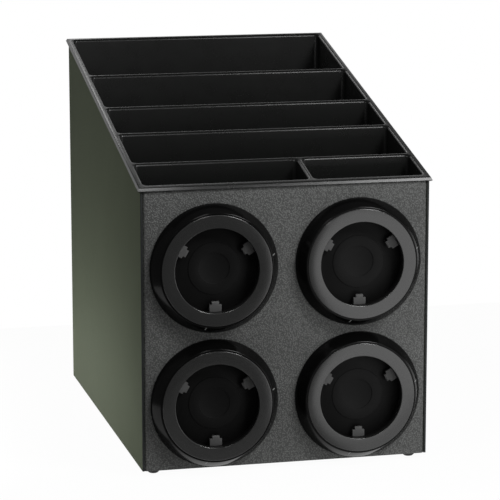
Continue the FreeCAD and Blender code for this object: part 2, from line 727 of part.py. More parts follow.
def make_tube(name, x, z):
    """Tube that holds the stack of cups, and the cap that closes its rear end."""
    tube, _wall = turned(name + "_tube", [
        (TUBE_INNER, "0"), ("tube_radius", "0"), ("tube_radius", TUBE_END_Y), (TUBE_INNER, TUBE_END_Y)])
    place(tube, x=x, z="foot_height + " + z)
    seat = "(%s - spring_seat_height)" % TUBE_END_Y
    spigot = "(%s - cap_spigot_length)" % TUBE_END_Y
    back = "(%s + cap_thickness)" % TUBE_END_Y
    seat_outer = "(%s + spring_seat_wall)" % CAP_SEAT_INNER
    spigot_inner = "(%s - cap_spigot_wall)" % CAP_SPIGOT
    cap, _shape = turned(name + "_end_cap", [
        ("cap_vent_radius", TUBE_END_Y), (CAP_SEAT_INNER, TUBE_END_Y), (CAP_SEAT_INNER, seat),
        (seat_outer, seat), (seat_outer, TUBE_END_Y), (spigot_inner, TUBE_END_Y),
        (spigot_inner, spigot), (CAP_SPIGOT, spigot), (CAP_SPIGOT, TUBE_END_Y),
        ("tube_radius", TUBE_END_Y), ("tube_radius", back), ("cap_vent_radius", back)])
    place(cap, x=x, z="foot_height + " + z)


def make_pusher(name, x, z):
    """Follower that pushes the stack of cups forwards, with a long skirt that keeps it square."""
    ring_front = "(pusher_setback - pusher_ring_height)"
    skirt_end = "(pusher_setback + pusher_skirt_length)"
    skirt_inner = "(%s - pusher_skirt_wall)" % PUSHER_RADIUS
    boss_end = "(%s + pusher_boss_height)" % PUSHER_BACK_Y
    boss_inner = "(%s - spring_seat_wall)" % BOSS_RADIUS
    pusher, _shape = turned(name + "_pusher", [
        ("0", "pusher_setback"), ("pusher_ring_inner_radius", "pusher_setback"),
        ("pusher_ring_inner_radius", ring_front), ("pusher_ring_outer_radius", ring_front),
        ("pusher_ring_outer_radius", "pusher_setback"), (PUSHER_RADIUS, "pusher_setback"),
        (PUSHER_RADIUS, skirt_end), (skirt_inner, skirt_end), (skirt_inner, PUSHER_BACK_Y),
        (BOSS_RADIUS, PUSHER_BACK_Y), (BOSS_RADIUS, boss_end), (boss_inner, boss_end),
        (boss_inner, PUSHER_BACK_Y), ("0", PUSHER_BACK_Y)])
    place(pusher, x=x, z="foot_height + " + z)


def spring_rise(turn, turns, end_pitch, length):
    """Distance along the axis after a number of turns. One flat turn and one easing turn each end."""
    pitch = (length - 3 * end_pitch) / (turns - 3)
    if turn > turns / 2:
        return length - spring_rise(turns - turn, turns, end_pitch, length)
    easing = min(max(turn - 1, 0), 1)
    return (end_pitch * min(turn, 1) + end_pitch * easing + (pitch - end_pitch) * easing ** 2 / 2
            + pitch * max(turn - 2, 0))


def biarc(start, start_way, end, end_way):
    """Two arcs that join a start and an end point smoothly along the given directions."""
    chord = end - start
    ways = start_way + end_way
    spread = 2 * (1 - start_way.dot(end_way))
    reach = chord.dot(ways)
    step = (math.sqrt(reach * reach + spread * chord.dot(chord)) - reach) / spread
    joint = (start + end + (start_way - end_way) * step) * 0.5
    edges = []
    for first, corner, last in ((start, start + start_way * step, joint),
                                (joint, end - end_way * step, end)):
        weight = (corner - first).normalize().dot((last - first).normalize())
        middle = ((first + last) * 0.5 + corner * weight) * (1 / (1 + weight))
        edges.append(Part.Arc(first, middle, last).toShape())
    return edges


def spring_shape():
    """Compression spring as one round wire wound from the pusher to the end cap."""
    radius = size(SPRING_RADIUS)
    wire = size("spring_wire_radius")
    turns = int(size("spring_turns"))
    end_pitch = size("spring_end_pitch")
    start_y = size(PUSHER_BACK_Y) + size("axial_gap") + wire
    length = size(TUBE_END_Y + " - axial_gap") - wire - start_y

    def at(turn):
        angle = 2 * math.pi * turn
        rise = spring_rise(turn, turns, end_pitch, length)
        return Vector(radius * math.cos(angle), start_y + rise, radius * math.sin(angle))

    def way(turn):
        return (at(min(turn + TURN_STEP, turns)) - at(max(turn - TURN_STEP, 0))).normalize()

    edges = []
    for quarter in range(4 * turns):
        first, last = quarter / 4, (quarter + 1) / 4
        edges += biarc(at(first), way(first), at(last), way(last))
    path = Part.Wire(edges)
    section = Part.Wire([Part.makeCircle(wire, at(0), way(0))])
    checked = [step / GAPS_PER_TURN for step in range(GAPS_PER_TURN * (turns - 1))]
    gaps = [(at(turn) - at(turn + 1)).Length - 2 * wire for turn in checked]
    print("spring: %d turns, least gap between turns %.2f mm" % (turns, min(gaps)))
    return path.makePipeShell([section], True, False)


def make_bezel_screws():
    """Screws that hold the four bezel rings, one group of separate solids."""
    along = Vector(0, -1, 0)
    wall = size("front_wall")
    solids = []
    for x, z in screw_places():
        centre = Vector(size(x), wall, size(z))
        length = wall + size("bezel_screw_depth")
        shank = Part.makeCylinder(size("bezel_screw_radius"), length, centre, along)
        head = Part.makeCylinder(size("bezel_screw_head_radius"), size("bezel_screw_head_height"),
                                 centre, Vector(0, 1, 0))
        solids.append(shank.fuse(head).removeSplitter())
    add_shape("bezel_screws", Part.makeCompound(solids),
              Placement(Vector(0, size(FRONT_Y), size("foot_height")), Rotation()))


def make_dispensers():
    """The four dispensers, each at its own hole in the front panel."""
    spring = spring_shape()
    cam = cam_ring_shape()
    for name, x, z in dispenser_axes():
        make_bezel(name, x, z)
        make_adjuster(name, x, z)
        add_shape(name + "_cam_ring", cam.copy(), axis_placement(x, z))
        make_lugs(name, x, z)
        make_guide(name, x, z)
        make_tube(name, x, z)
        make_pusher(name, x, z)
        add_shape(name + "_spring", spring.copy(), axis_placement(x, z))


def check_document():
    """Stop unless every object was made and every piece is a valid shape."""
    doc.recompute()
    for item in doc.Objects:
        if "Invalid" in item.State or "Error" in item.State:
            raise RuntimeError("%s is %s" % (item.Name, item.State))
    for label, item in parts.items():
        shape = item.Shape
        if shape.isNull() or not shape.isValid() or not shape.Solids:
            raise RuntimeError("%s has no valid shape" % label)


def export_parts():
    """Write each piece's shape to its own file."""
    os.makedirs("parts", exist_ok=True)
    for label, item in parts.items():
        item.Shape.exportStep("parts/%s.step" % label)
    print("%d pieces" % len(parts))


make_side_panel("left_side_panel", -1)
make_side_panel("right_side_panel", 1)
make_front_panel()
make_rear_panel()
make_bottom_panel()
make_bulkhead()
make_feet()
make_tray()
make_dispensers()
make_bezel_screws()
check_document()
export_parts()
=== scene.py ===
"""Looks of a countertop cup dispensing cabinet with a sloped organizer tray on top.

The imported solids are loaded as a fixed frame. The pieces that show are modelled again in the
solids' places, with soft edges, and every piece gets a procedural finish. Lengths are in metres.
X runs to the right, Y to the rear and Z up.
"""

import json
import logging
import math
from dataclasses import dataclass
from enum import Enum
from functools import cache
from typing import Callable, Iterator, Sequence

import bmesh
import bpy
from mathutils import Matrix, Vector


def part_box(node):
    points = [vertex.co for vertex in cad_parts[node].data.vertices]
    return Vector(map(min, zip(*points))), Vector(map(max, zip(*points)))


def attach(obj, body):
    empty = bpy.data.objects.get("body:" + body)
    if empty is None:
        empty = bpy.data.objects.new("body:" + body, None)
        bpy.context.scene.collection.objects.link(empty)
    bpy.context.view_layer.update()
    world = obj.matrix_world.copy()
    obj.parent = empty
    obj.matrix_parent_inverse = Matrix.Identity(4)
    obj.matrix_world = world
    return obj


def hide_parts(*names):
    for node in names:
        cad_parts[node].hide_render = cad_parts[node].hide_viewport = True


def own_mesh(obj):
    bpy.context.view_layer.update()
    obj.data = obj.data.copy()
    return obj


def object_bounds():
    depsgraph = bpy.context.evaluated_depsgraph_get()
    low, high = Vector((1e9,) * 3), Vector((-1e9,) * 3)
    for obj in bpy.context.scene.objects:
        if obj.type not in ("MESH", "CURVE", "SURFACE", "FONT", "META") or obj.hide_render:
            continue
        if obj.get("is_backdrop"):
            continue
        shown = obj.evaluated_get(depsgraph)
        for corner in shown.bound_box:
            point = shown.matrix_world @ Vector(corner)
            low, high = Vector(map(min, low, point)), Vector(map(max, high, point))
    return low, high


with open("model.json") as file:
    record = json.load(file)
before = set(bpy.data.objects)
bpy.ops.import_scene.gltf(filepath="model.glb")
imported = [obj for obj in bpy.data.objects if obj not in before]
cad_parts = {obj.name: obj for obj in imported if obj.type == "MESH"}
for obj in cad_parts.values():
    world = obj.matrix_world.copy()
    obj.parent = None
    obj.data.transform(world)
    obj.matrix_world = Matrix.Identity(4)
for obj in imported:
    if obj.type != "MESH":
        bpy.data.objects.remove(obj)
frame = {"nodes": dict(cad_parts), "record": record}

MM = 0.001
# Lengths and shares that differ by less count as the same.
NEAR = 1e-5
# A face whose normal rises less than this is a wall. The flared lip has a limit of its own.
STEEP = 0.2
LIP_STEEP = 0.7
# The dispenser at which the parts of all four are modelled.
HOME = "upper_left"
LOG = logging.getLogger("cabinet")
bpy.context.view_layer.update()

Colour = tuple[float, float, float]
Span = tuple[float, float]
Test = Callable[[bmesh.types.BMVert | bmesh.types.BMEdge | bmesh.types.BMFace], bool]


class Level(Enum):
    """Rows of dispensers in the front panel."""

    UPPER = "upper"
    LOWER = "lower"


class Side(Enum):
    """Sides of the cabinet, seen from the front."""

    LEFT = "left"
    RIGHT = "right"


class Wire:
    """A value on its way through a node tree. Arithmetic on it adds Math nodes."""

    def __init__(self, board: "Board", socket: bpy.types.NodeSocket) -> None:
        """Hold an output socket.

        Args:
            board: The tree that the node belongs to.
            socket: The output socket.
        """
        self.board = board
        self.socket = socket

    def _math(self, operation: str, left: "Wire | float", right: "Wire | float") -> "Wire":
        """Return the result of a Math node on two values."""
        return self.board.node("ShaderNodeMath", {"operation": operation}, {0: left, 1: right})

    def __add__(self, other: "Wire | float") -> "Wire":
        """Return the sum."""
        return self._math("ADD", self, other)

    def __mul__(self, other: "Wire | float") -> "Wire":
        """Return the product."""
        return self._math("MULTIPLY", self, other)

    def __rsub__(self, other: float) -> "Wire":
        """Return a number less this value."""
        return self._math("SUBTRACT", other, self)

    __radd__ = __add__
    __rmul__ = __mul__

    def clamped(self) -> "Wire":
        """Return the value kept between 0 and 1."""
        return self.board.node("ShaderNodeMath", {"operation": "MULTIPLY", "use_clamp": True},
                               {0: self, 1: 1.0})


class Board:
    """A node tree that is being wired."""

    def __init__(self, tree: bpy.types.NodeTree) -> None:
        """Take a tree and empty it.

        Args:
            tree: The tree of a material or world.
        """
        self.tree = tree
        tree.nodes.clear()

    def node(self, kind: str, settings: dict | None = None, inputs: dict | None = None,
             output: int | str = 0) -> Wire:
        """Add a node.

        Args:
            kind: The node's type.
            settings: Its settings, set before its sockets.
            inputs: Values or wires for its sockets, by index or name.
            output: The socket to go on with.

        Returns:
            The node's output.
        """
        made = self.tree.nodes.new(kind)
        for key, value in (settings or {}).items():
            setattr(made, key, value)
        for key, value in (inputs or {}).items():
            if isinstance(value, Wire):
                self.tree.links.new(value.socket, made.inputs[key])
            else:
                made.inputs[key].default_value = value
        return Wire(self, made.outputs[output])

    def show(self, kind: str, surface: Wire) -> None:
        """Lead a shader to the tree's output."""
        output = self.tree.nodes.new(kind)
        self.tree.links.new(surface.socket, output.inputs["Surface"])

    def place(self) -> Wire:
        """Return the point's place on the object."""
        return self.node("ShaderNodeTexCoord", output="Object")

    def axes(self, place: Wire) -> list[Wire]:
        """Return a point's three coordinates."""
        return [self.node("ShaderNodeSeparateXYZ", None, {0: place}, output=axis) for axis in "XYZ"]

    def noise(self, size: float, detail: float = 2.0, rough: float = 0.5) -> Wire:
        """Return a noise pattern from 0 to 1 whose features have about this size."""
        return self.node("ShaderNodeTexNoise", None,
                         {"Vector": self.place(), "Scale": 1 / size, "Detail": detail, "Roughness": rough})

    def way(self, value: Wire, low: float, high: float, eased: bool = True) -> Wire:
        """Return how far a value has come from one number to another, from 0 to 1.

        Args:
            value: The value.
            low: The number at 0.
            high: The number at 1.
            eased: Whether the way starts and ends softly.

        Returns:
            The share of the way.
        """
        kind = "SMOOTHSTEP" if eased else "LINEAR"
        return self.node("ShaderNodeMapRange", {"interpolation_type": kind},
                         {"Value": value, "From Min": low, "From Max": high})

    def varied(self, mean: float, share: float, pattern: Wire) -> Wire:
        """Return a mean value that a pattern moves by up to half a share of it, up and down."""
        return (mean * (1 - share / 2 + share * pattern)).clamped()

    def tinted(self, value: Wire, low: Colour, high: Colour) -> Wire:
        """Return a colour between two, mixed by a value."""
        return self.node("ShaderNodeMix", {"data_type": "RGBA", "clamp_factor": True},
                         {0: value, 6: (*low, 1), 7: (*high, 1)}, output=2)

    def bump(self, height: Wire, depth: float) -> Wire:
        """Return a surface direction bent by a height pattern of a real depth."""
        return self.node("ShaderNodeBump", None, {"Height": height, "Distance": depth, "Strength": 1.0},
                         output="Normal")

    def ray(self, kind: str) -> Wire:
        """Return 1 for rays of a kind."""
        return self.node("ShaderNodeLightPath", output=f"Is {kind} Ray")

    def beheld(self) -> Wire:
        """Return 1 for rays that come from the camera, a reflection or a clear piece."""
        return (self.ray("Camera") + self.ray("Glossy") + self.ray("Transmission")).clamped()


@dataclass(frozen=True)
class Finish:
    """A surface finish: a Principled shader whose colour, roughness and bump are patterns.

    Attributes:
        name: The material's name.
        slot: The record's material slot that the finish belongs to.
        colour: Base colour, linear.
        roughness: Mean roughness.
        specular: Specular level of the shader, 0.5 for common plastics.
        mottle: Share by which the colour varies from place to place.
        grain: Size of the fine grain.
        grain_depth: Height of the fine grain.
        clouds: Size of the colour's soft clouds.
        marks: Size of the handling marks in the gloss.
        gloss_drift: Share by which the roughness varies.
    """

    name: str
    slot: str
    colour: Colour
    roughness: float
    specular: float = 0.5
    mottle: float = 0.12
    grain: float = 1.0 * MM
    grain_depth: float = 0.02 * MM
    clouds: float = 60 * MM
    marks: float = 9 * MM
    gloss_drift: float = 0.28

    def material(self) -> bpy.types.Material:
        """Return the finish's material, made once.

        Returns:
            The material.
        """
        found = bpy.data.materials.get(self.name)
        if found:
            return found
        made = bpy.data.materials.new(self.name)
        made.use_nodes = True
        board = Board(made.node_tree)
        sockets = {"Specular IOR Level": self.specular, **self.pattern(board)}
        board.show("ShaderNodeOutputMaterial", board.node("ShaderNodeBsdfPrincipled", None, sockets))
        return made

    def shades(self) -> tuple[Colour, Colour]:
        """Return the base colour at its darkest and lightest."""
        darkest, lightest = 1 - self.mottle, 1 + self.mottle
        return tuple(part * darkest for part in self.colour), tuple(part * lightest for part in self.colour)

    def pattern(self, board: Board) -> dict[str, Wire | float]:
        """Lay out cloudy colour, handling marks and a fine grain.

        Args:
            board: The material's tree.

        Returns:
            The shader's sockets.
        """
        clouds = board.noise(self.clouds, detail=4)
        marks = board.noise(self.marks, detail=6, rough=0.65)
        grain = board.noise(self.grain, detail=3)
        return {"Base Color": board.tinted(clouds, *self.shades()),
                "Roughness": board.varied(self.roughness, self.gloss_drift, marks),
                "Normal": board.bump(grain, self.grain_depth)}


@dataclass(frozen=True)
class PebbledFinish(Finish):
    """Hair-cell plastic: small raised pebbles with fine valleys between them.

    Attributes:
        gloss_drift: Share by which the roughness varies. The crowns are the smoother.
        pebble: Size of a pebble.
        pebble_depth: Height of the pebbles.
        drift: Share of a pebble by which the pattern is warped.
        warp: Size of the warp, in pebbles.
        fall: Distances from a pebble's middle, in pebbles, between which it falls away.
        fine_share: Share of the fine grain in the height.
        wear_share: Share of the soft clouds in the colour.
        contrast: Heights between which the colour goes from its darkest to its lightest.
    """

    gloss_drift: float = -0.24
    pebble: float = 2.0 * MM
    pebble_depth: float = 0.6 * MM
    drift: float = 0.9
    warp: float = 2.5
    fall: Span = (0.1, 0.7)
    fine_share: float = 0.45
    wear_share: float = 0.2
    # contrast: Heights between which the colour goes from its darkest to its lightest; the lightest is a
    # painted highlight on the crowns.
    contrast: Span = (0.3, 0.7)

    def pattern(self, board: Board) -> dict[str, Wire | float]:
        """Lay out pebbles of uneven height, with a painted highlight that makes their crowns paler.

        Args:
            board: The material's tree.

        Returns:
            The shader's sockets.
        """
        warp = board.noise(self.pebble * self.warp, detail=1)
        place = board.node("ShaderNodeVectorMath", {"operation": "MULTIPLY_ADD"},
                           {0: warp * (self.pebble * self.drift), 1: (1, 1, 1), 2: board.place()})
        cells = board.node("ShaderNodeTexVoronoi", {"feature": "F1"},
                           {"Vector": place, "Scale": 1 / self.pebble, "Randomness": 1.0}, output="Distance")
        fine = board.noise(self.grain, detail=3, rough=0.7)
        crowns = 1 - board.way(cells, *self.fall, eased=False)
        height = crowns * (1 - self.fine_share) + fine * self.fine_share
        wear = board.noise(self.clouds, detail=3)
        # The colour follows the height, so the crowns carry a painted highlight, mixed with soft clouds of
        # tone.
        crown_highlight_and_wear = height * (1 - self.wear_share) + wear * self.wear_share
        shade = board.way(crown_highlight_and_wear, *self.contrast, eased=False)
        return {"Base Color": board.tinted(shade, *self.shades()),
                "Roughness": board.varied(self.roughness, self.gloss_drift, crowns),
                "Normal": board.bump(height, self.pebble_depth)}


@dataclass(frozen=True)
class DrawnFinish(Finish):
    """Drawn steel wire or rod: a metal shader with fine scratches.

    Attributes:
        gloss_drift: Share by which the scratches vary the roughness.
    """

    gloss_drift: float = 0.6

    def pattern(self, board: Board) -> dict[str, Wire | float]:
        """Lay out fine scratches on a metal shader.

        Args:
            board: The material's tree.

        Returns:
            The shader's sockets.
        """
        scratches = board.noise(self.grain, detail=6, rough=0.7)
        return {"Base Color": board.tinted(board.noise(self.clouds), *self.shades()), "Metallic": 1.0,
                "Roughness": board.varied(self.roughness, self.gloss_drift, scratches),
                "Normal": board.bump(scratches, self.grain_depth)}


SIDE_PLASTIC = Finish("smooth_panel_plastic", "painted_panel", (0.074, 0.084, 0.060), 0.55,
                      specular=0.002, mottle=0.05, grain=1.6 * MM, grain_depth=0.012 * MM)
FRONT_PLASTIC = PebbledFinish("haircell_panel_plastic", "textured_panel", (0.088, 0.090, 0.088), 0.45,
                              specular=0.3, mottle=0.42, grain=1.3 * MM)
TRAY_PLASTIC = Finish("formed_tray_plastic", "tray_plastic", (0.004, 0.0043, 0.004), 0.28,
                      specular=0.3, grain=6 * MM, grain_depth=0.003 * MM, marks=25 * MM)
GLOSS_PLASTIC = Finish("gloss_ring_plastic", "gloss_plastic", (0.002, 0.002, 0.002), 0.17,
                       specular=0.13, grain=2.5 * MM, grain_depth=0.003 * MM)
SATIN_PLASTIC = Finish("satin_ring_plastic", "satin_plastic", (0.010, 0.0102, 0.010), 0.23,
                       specular=0.78, mottle=0.15, grain=1.5 * MM, grain_depth=0.012 * MM)
# Darker colour for the side walls' front edges: painted shade of the groove beside the front panel.
EDGE_PAINTED_SHADE = Finish("panel_edge_plastic", "painted_panel", (0.016, 0.018, 0.018), 0.5,
                      specular=0.2, grain=1.2 * MM, grain_depth=0.02 * MM)
INNER_PLASTIC = Finish("matt_inner_plastic", "matte_plastic", (0.0035, 0.0035, 0.0035), 0.5, specular=0.12)
LUG_PLASTIC = Finish("lug_plastic", "lug_plastic", (0.011, 0.0114, 0.011), 0.38, specular=0.22)
TUBE_PLASTIC = Finish("tube_plastic", "tube_plastic", (0.006, 0.006, 0.006), 0.45, specular=0.2)
RUBBER = Finish("foot_rubber", "rubber_feet", (0.012, 0.012, 0.012), 0.62, specular=0.3,
                grain=1.2 * MM, grain_depth=0.03 * MM)
STEEL = DrawnFinish("drawn_steel", "steel", (0.52, 0.52, 0.53), 0.32, grain=0.8 * MM, clouds=20 * MM)
TICK_PAINT = Finish("tick_paint", "gloss_plastic", (0.20, 0.205, 0.20), 0.5, mottle=0.25, clouds=3 * MM)

SLOT_FINISHES = {finish.slot: finish for finish in (
    SIDE_PLASTIC, FRONT_PLASTIC, TRAY_PLASTIC, GLOSS_PLASTIC, SATIN_PLASTIC, INNER_PLASTIC, LUG_PLASTIC,
    TUBE_PLASTIC, RUBBER, STEEL)}


class Axis(Enum):
    """Axes that turned pieces are built round."""

    Y = 1
    Z = 2

    def along(self, depth: float) -> Vector:
        """Return the step of a length along the axis."""
        return Vector((0, depth, 0)) if self is Axis.Y else Vector((0, 0, depth))

    def scale(self, ratio: float) -> tuple[float, float, float]:
        """Return the factors that grow a loop square to the axis."""
        return (ratio, 1, ratio) if self is Axis.Y else (ratio, ratio, 1)

    def turn(self) -> tuple[float, float, float]:
        """Return the rotation that points a primitive's own Z along the axis."""
        return (-math.pi / 2, 0, 0) if self is Axis.Y else (0, 0, 0)


@dataclass(frozen=True)
class Rounding:
    """How an edge is rounded.

    Attributes:
        width: Width of the rounding on each side of the edge.
        steps: Number of faces across it.
    """

    width: float
    steps: int


@dataclass(frozen=True)
class Corner:
    """One corner of a turned profile.

    Attributes:
        radius: Distance from the axis.
        depth: Place along the axis.
        rounding: How the corner is rounded, or nothing where it stays sharp.
    """

    radius: float
    depth: float
    rounding: Rounding | None = None


class Piece:
    """One mesh on the bench. Its methods are the operators that shape it."""

    def __init__(self, name: str) -> None:
        """Take the primitive that was just added, with its place put into its mesh.

        Args:
            name: The piece's name.
        """
        self.obj = bpy.context.object
        self.obj.name = name
        self.obj.data.name = name
        self.apply_place()

    @staticmethod
    def clear() -> None:
        """Leave edit mode and deselect everything, so that operators act on the new piece alone."""
        if bpy.context.mode != "OBJECT":
            bpy.ops.object.mode_set(mode="OBJECT")
        bpy.ops.object.select_all(action="DESELECT")

    @staticmethod
    def apply_place() -> None:
        """Put the selected object's place, turn and scale into its mesh."""
        bpy.ops.object.transform_apply(location=True, rotation=True, scale=True)

    @classmethod
    def block(cls, name: str, low: Vector, high: Vector) -> "Piece":
        """Start from a cube primitive between two corners.

        Args:
            name: The piece's name.
            low: The lower corner.
            high: The upper corner.

        Returns:
            The block.
        """
        cls.clear()
        bpy.ops.mesh.primitive_cube_add(size=1, location=(low + high) / 2, scale=high - low)
        return cls(name)

    @classmethod
    def sheet(cls, name: str, low: Vector, high: Vector) -> "Piece":
        """Start from a level plane primitive between two corners.

        Args:
            name: The piece's name.
            low: The lower corner.
            high: The upper corner.

        Returns:
            The sheet.
        """
        cls.clear()
        bpy.ops.mesh.primitive_plane_add(size=1, location=(low + high) / 2)
        bpy.context.object.scale = (high.x - low.x, high.y - low.y, 1)
        return cls(name)

    @classmethod
    def loop(cls, name: str, centre: Vector, radius: float, sides: int, axis: Axis) -> "Piece":
        """Start from a circle primitive square to an axis.

        Args:
            name: The piece's name.
            centre: The circle's middle.
            radius: Its radius.
            sides: Number of its edges.
            axis: The axis.

        Returns:
            The circle.
        """
        cls.clear()
        bpy.ops.mesh.primitive_circle_add(vertices=sides, radius=radius, location=centre,
                                          rotation=axis.turn())
        return cls(name)

    @classmethod
    def rod(cls, name: str, centre: Vector, radius: float, length: float, sides: int) -> "Piece":
        """Start from a cylinder primitive along Y.

        Args:
            name: The piece's name.
            centre: The cylinder's middle.
            radius: Its radius.
            length: Its length.
            sides: Number of flats round it.

        Returns:
            The cylinder.
        """
        cls.clear()
        bpy.ops.mesh.primitive_cylinder_add(vertices=sides, radius=radius, depth=length, location=centre,
                                            rotation=Axis.Y.turn())
        return cls(name)

    def activate(self) -> None:
        """Make the piece the only selected object."""
        self.clear()
        bpy.context.view_layer.objects.active = self.obj
        self.obj.select_set(True)

    def edit(self) -> bmesh.types.BMesh:
        """Go to edit mode and return the mesh being edited.

        Returns:
            The mesh.
        """
        if self.obj.mode != "EDIT":
            bpy.ops.object.mode_set(mode="EDIT")
        return bmesh.from_edit_mesh(self.obj.data)

    def done(self) -> None:
        """Go back to object mode."""
        if self.obj.mode != "OBJECT":
            bpy.ops.object.mode_set(mode="OBJECT")

    def all(self) -> None:
        """Select the whole mesh in edit mode."""
        self.edit()
        bpy.ops.mesh.select_mode(type="FACE")
        bpy.ops.mesh.select_all(action="SELECT")

    def pick(self, kind: str, test: Test) -> None:
        """Select the verts, edges or faces that pass a test.

        Args:
            kind: "verts", "edges" or "faces".
            test: Takes one of them and tells whether it is chosen.
        """
        self.edit()
        bpy.ops.mesh.select_mode(type=kind[:-1].upper())
        bpy.ops.mesh.select_all(action="DESELECT")
        mesh = self.edit()
        for item in [item for item in getattr(mesh, kind) if test(item)]:
            item.select_set(True)
        mesh.select_flush_mode()
        bmesh.update_edit_mesh(self.obj.data)

    def round_edges(self, test: Test, rounding: Rounding, clamp: bool = True) -> None:
        """Round the edges that pass a test.

        Args:
            test: Takes an edge and tells whether it is rounded.
            rounding: How it is rounded.
            clamp: Whether the rounding stops short of its neighbours.
        """
        self.pick("edges", test)
        bpy.ops.mesh.bevel(offset=rounding.width, segments=rounding.steps, profile=0.5, affect="EDGES",
                           clamp_overlap=clamp)

    def extrude(self, move: Sequence[float] = (0, 0, 0)) -> None:
        """Extrude the selection and move it."""
        bpy.ops.mesh.extrude_region_move(TRANSFORM_OT_translate={"value": tuple(move)})

    def move(self, step: Sequence[float]) -> None:
        """Move the selection."""
        bpy.ops.transform.translate(value=tuple(step))

    def grow(self, factors: Sequence[float], centre: Sequence[float] | None = None) -> None:
        """Scale the selection about its middle or a given centre.

        Args:
            factors: Scale along X, Y and Z.
            centre: The centre, or nothing for the middle.
        """
        if centre is None:
            bpy.ops.transform.resize(value=tuple(factors))
        else:
            bpy.ops.transform.resize(value=tuple(factors), center_override=tuple(centre))

    def cut(self, point: Sequence[float], normal: Sequence[float]) -> None:
        """Cut the selected faces along a plane."""
        bpy.ops.mesh.bisect(plane_co=tuple(point), plane_no=tuple(normal))

    def tidy(self) -> None:
        """Merge doubled points and turn all faces outwards."""
        self.all()
        bpy.ops.mesh.remove_doubles(threshold=NEAR / 2)
        bpy.ops.mesh.normals_make_consistent(inside=False)

    def smooth(self, degrees: float = 30) -> None:
        """Shade the piece smooth across edges flatter than an angle."""
        self.done()
        bpy.ops.object.shade_smooth_by_angle(angle=math.radians(degrees))

    def modify(self, kind: str, **settings: object) -> None:
        """Add a modifier and apply it.

        Args:
            kind: The modifier's type.
            settings: Its settings.
        """
        self.done()
        modifier = self.obj.modifiers.new(kind.lower(), kind)
        for key, value in settings.items():
            setattr(modifier, key, value)
        bpy.ops.object.modifier_apply(modifier=modifier.name)

    def join(self, other: "Piece") -> None:
        """Take another piece into this one.

        Args:
            other: The other piece.
        """
        other.done()
        self.done()
        self.clear()
        other.obj.select_set(True)
        self.obj.select_set(True)
        bpy.context.view_layer.objects.active = self.obj
        bpy.ops.object.join()

    def subtract(self, cutter: "Piece") -> None:
        """Cut another piece's shape out of this one.

        Args:
            cutter: The other piece, which is used up.
        """
        cutter.done()
        self.activate()
        self.modify("BOOLEAN", object=cutter.obj, operation="DIFFERENCE", solver="EXACT")
        bpy.data.objects.remove(cutter.obj)

    def copy(self, name: str, shift: Vector, turn: float = 0.0, pivot: Vector = Vector()) -> "Piece":
        """Return a copy with its own mesh.

        Args:
            name: The copy's name.
            shift: Its move.
            turn: Its turn round Y, anticlockwise seen from the front, in degrees.
            pivot: The point that it turns about, before the move.

        Returns:
            The copy.
        """
        self.clear()
        made = self.obj.copy()
        made.data = self.obj.data.copy()
        bpy.context.scene.collection.objects.link(made)
        bpy.context.view_layer.objects.active = made
        made.select_set(True)
        rotation = Matrix.Rotation(math.radians(-turn), 4, "Y")
        made.matrix_world = Matrix.Translation(shift + pivot) @ rotation @ Matrix.Translation(-pivot)
        bpy.context.view_layer.update()
        return Piece(name)

    def drop(self) -> None:
        """Remove a model that was only copied from."""
        bpy.data.objects.remove(self.obj)

    def finish(self, finish: Finish, body: str = "root", replaces: Sequence[str] = ()) -> bpy.types.Object:
        """Give the piece its finish, its body and the solids that it stands for.

        Args:
            finish: The finish of its whole surface.
            body: The body that it rides on.
            replaces: The solids that it stands for.

        Returns:
            The finished object.
        """
        self.done()
        dress(self.obj, finish)
        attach(self.obj, body)
        if replaces:
            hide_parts(*replaces)
        LOG.info("%s: %d faces on %s", self.obj.name, len(self.obj.data.polygons), body)
        return self.obj


def dress(obj: bpy.types.Object, finish: Finish) -> None:
    """Put one finish on an object.

    Args:
        obj: The object.
        finish: Its finish.
    """
    obj.data.materials.clear()
    obj.data.materials.append(finish.material())


def trim_faces(obj: bpy.types.Object, finish: Finish, test: Callable[[Vector], bool]) -> None:
    """Give a second finish to the faces whose direction passes a test.

    Args:
        obj: The object, which has its first finish.
        finish: The second finish.
        test: Takes a face's normal.
    """
    obj.data.materials.append(finish.material())
    for face in obj.data.polygons:
        if test(face.normal):
            face.material_index = 1


def on_loop(edge: bmesh.types.BMEdge, centre: Vector, corner: Corner, axis: Axis) -> bool:
    """Tell whether an edge lies on the circle that a profile's corner draws.

    Args:
        edge: The edge.
        centre: Point on the axis from which depths are counted.
        corner: The corner.
        axis: The axis.

    Returns:
        True where both ends lie on the circle.
    """
    for vert in edge.verts:
        offset = vert.co - centre
        depth = offset[axis.value]
        radius = (offset - axis.along(depth)).length
        if abs(depth - corner.depth) > NEAR or abs(radius - corner.radius) > NEAR:
            return False
    return True


def turned(name: str, centre: Vector, profile: Sequence[Corner], sides: int, axis: Axis = Axis.Y,
           closed: bool = True) -> Piece:
    """Turn a profile round an axis.

    Args:
        name: The piece's name.
        centre: Point on the axis from which depths are counted.
        profile: Corners of the profile.
        sides: Number of flats round the axis.
        axis: The axis.
        closed: Whether the profile runs back to its first corner. If not, its two ends are capped.

    Returns:
        The turned piece, with its corners rounded.
    """
    first, last = profile[0], profile[-1]
    piece = Piece.loop(name, centre + axis.along(first.depth), first.radius, sides, axis)
    piece.edit()
    bpy.ops.mesh.select_mode(type="EDGE")
    bpy.ops.mesh.select_all(action="SELECT")
    for before, corner in zip(profile, profile[1:]):
        piece.extrude(axis.along(corner.depth - before.depth))
        if corner.radius != before.radius:
            piece.grow(axis.scale(corner.radius / before.radius))
    if closed:
        piece.pick("edges", lambda edge: edge.is_boundary)
        bpy.ops.mesh.bridge_edge_loops()
    else:
        for end in (first, last):
            piece.pick("edges", lambda edge: on_loop(edge, centre, end, axis))
            bpy.ops.mesh.edge_face_add()
    piece.tidy()
    for corner in profile:
        if corner.rounding:
            piece.round_edges(lambda edge: on_loop(edge, centre, corner, axis), corner.rounding)
    return piece


